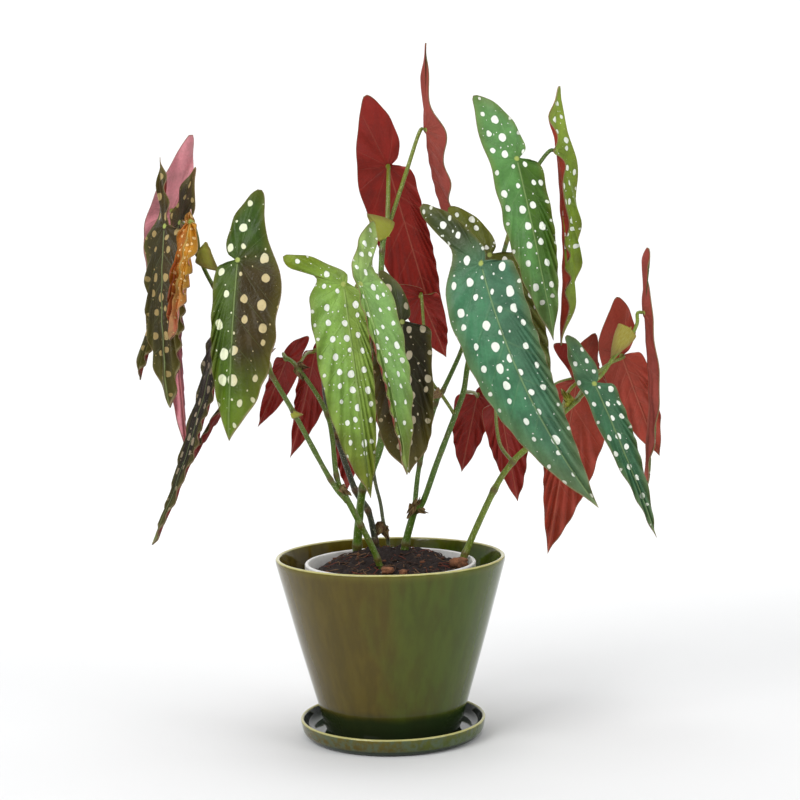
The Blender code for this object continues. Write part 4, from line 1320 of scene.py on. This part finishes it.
class BEGONIA_OT_stipules(bpy.types.Operator):
    """Grows the papery sheaths at the nodes."""

    bl_idname = "begonia.stipules"
    bl_label = "Stipules"

    def execute(self, context):
        settings = context.scene.begonia_leaf
        papery = stipule_finish()
        for seed, stipule in enumerate(STIPULES, 200):
            piece(stipule.name, [blade(stipule, settings, seed)], papery, [stipule.name])
        for seed, scrap in enumerate(SCRAPS, 220):
            piece(scrap.name, [blade(scrap, settings, seed)], papery, [])
        return {"FINISHED"}


# Stage


def lay_floor(settings):
    """A floor that curves up into a backdrop: a profile carried sideways."""
    bend = np.linspace(0, math.pi / 2, 24)
    line = np.column_stack([2.2 + 1.2 * np.sin(bend), 1.2 - 1.2 * np.cos(bend)])
    line = np.vstack([[-4.0, 0.0], line, [3.4, 5.0]])
    sides = np.array([-5.0, 5.0])
    points = np.stack(np.broadcast_arrays(sides[None], line[:, :1], line[:, 1:]), axis=-1).reshape(-1, 3)
    mesh = bpy.data.meshes.new("floor")
    mesh.from_pydata(points.tolist(), [], grid_quads(len(line), 2, False)[:, ::-1].tolist())
    mesh.shade_smooth()
    paint = Finish("floor_paint", {"Specular IOR Level": 0.1})
    place = paint.objects_place()
    grain = paint.noise(place, 3.0, 2.0)
    paint.shade({
        "Base Color": paint.mix(grain * 0.04, tuple(settings.floor), (0.8, 0.8, 0.8)),
        "Roughness": paint.between(grain, 0.2, 0.8, 0.75, 0.85),
    })
    mesh.materials.append(paint.material)
    floor = bpy.data.objects.new("floor", mesh)
    bpy.context.scene.collection.objects.link(floor)


def hang_light(name, place, aim, size, power):
    """A soft rectangular light that looks at its aim."""
    light = bpy.data.lights.new(name, "AREA")
    light.shape = "RECTANGLE"
    light.size, light.size_y = size
    light.energy = power
    lamp = bpy.data.objects.new(name, light)
    bpy.context.scene.collection.objects.link(lamp)
    way = unit(np.subtract(aim, place).astype(float))
    lamp.matrix_world = Matrix.Translation(place) @ Vector(way).to_track_quat("-Z", "Y").to_matrix().to_4x4()


def light_world(settings):
    """An even light from all round."""
    world = bpy.data.worlds.new("studio")
    world.use_nodes = True
    background = world.node_tree.nodes["Background"]
    background.inputs["Color"].default_value = (0.97, 0.985, 1.0, 1)
    background.inputs["Strength"].default_value = settings.world
    bpy.context.scene.world = world


def set_camera(settings):
    """The camera in front of the plant, a little above its rim, looking slightly down."""
    lens = bpy.data.cameras.new("camera")
    lens.lens = settings.lens
    lens.sensor_width = 36
    camera = bpy.data.objects.new("camera", lens)
    bpy.context.scene.collection.objects.link(camera)
    dip = Matrix.Rotation(math.radians(90 - CAMERA_DIP), 4, "X")
    roll = Matrix.Rotation(math.radians(CAMERA_ROLL), 4, "Z")
    camera.matrix_world = Matrix.Translation(CAMERA_PLACE) @ dip @ roll
    bpy.context.scene.camera = camera


STEPS = (
    BEGONIA_OT_saucer,
    BEGONIA_OT_planter,
    BEGONIA_OT_nursery_pot,
    BEGONIA_OT_soil,
    BEGONIA_OT_bark,
    BEGONIA_OT_canes,
    BEGONIA_OT_leaves,
    BEGONIA_OT_stipules,
    BEGONIA_OT_stage,
)
SETTINGS = {
    "begonia_leaf": BegoniaLeafSettings,
    "begonia_cane": BegoniaCaneSettings,
    "begonia_pot": BegoniaPotSettings,
    "begonia_soil": BegoniaSoilSettings,
    "begonia_stage": BegoniaStageSettings,
}


class BEGONIA_PT_panel(bpy.types.Panel):
    """Lists the pieces of the begonia."""

    bl_idname = "BEGONIA_PT_panel"
    bl_label = "Polka dot begonia"
    bl_space_type = "VIEW_3D"
    bl_region_type = "UI"
    bl_category = "Begonia"

    def draw(self, context):
        for step in STEPS:
            self.layout.operator(step.bl_idname)
        for key, group in SETTINGS.items():
            box = self.layout.box()
            for field in group.__annotations__:
                box.prop(getattr(context.scene, key), field)


def register():
    for group in (*SETTINGS.values(), *STEPS, BEGONIA_PT_panel):
        bpy.utils.register_class(group)
    for key, group in SETTINGS.items():
        setattr(bpy.types.Scene, key, bpy.props.PointerProperty(type=group))


def unregister():
    for key in SETTINGS:
        delattr(bpy.types.Scene, key)
    for group in reversed((*SETTINGS.values(), *STEPS, BEGONIA_PT_panel)):
        bpy.utils.unregister_class(group)


def main():
    """Makes every piece."""
    register()
    for step in STEPS:
        family, name = step.bl_idname.split(".")
        getattr(getattr(bpy.ops, family), name)()


if __name__ == "__main__":
    main()
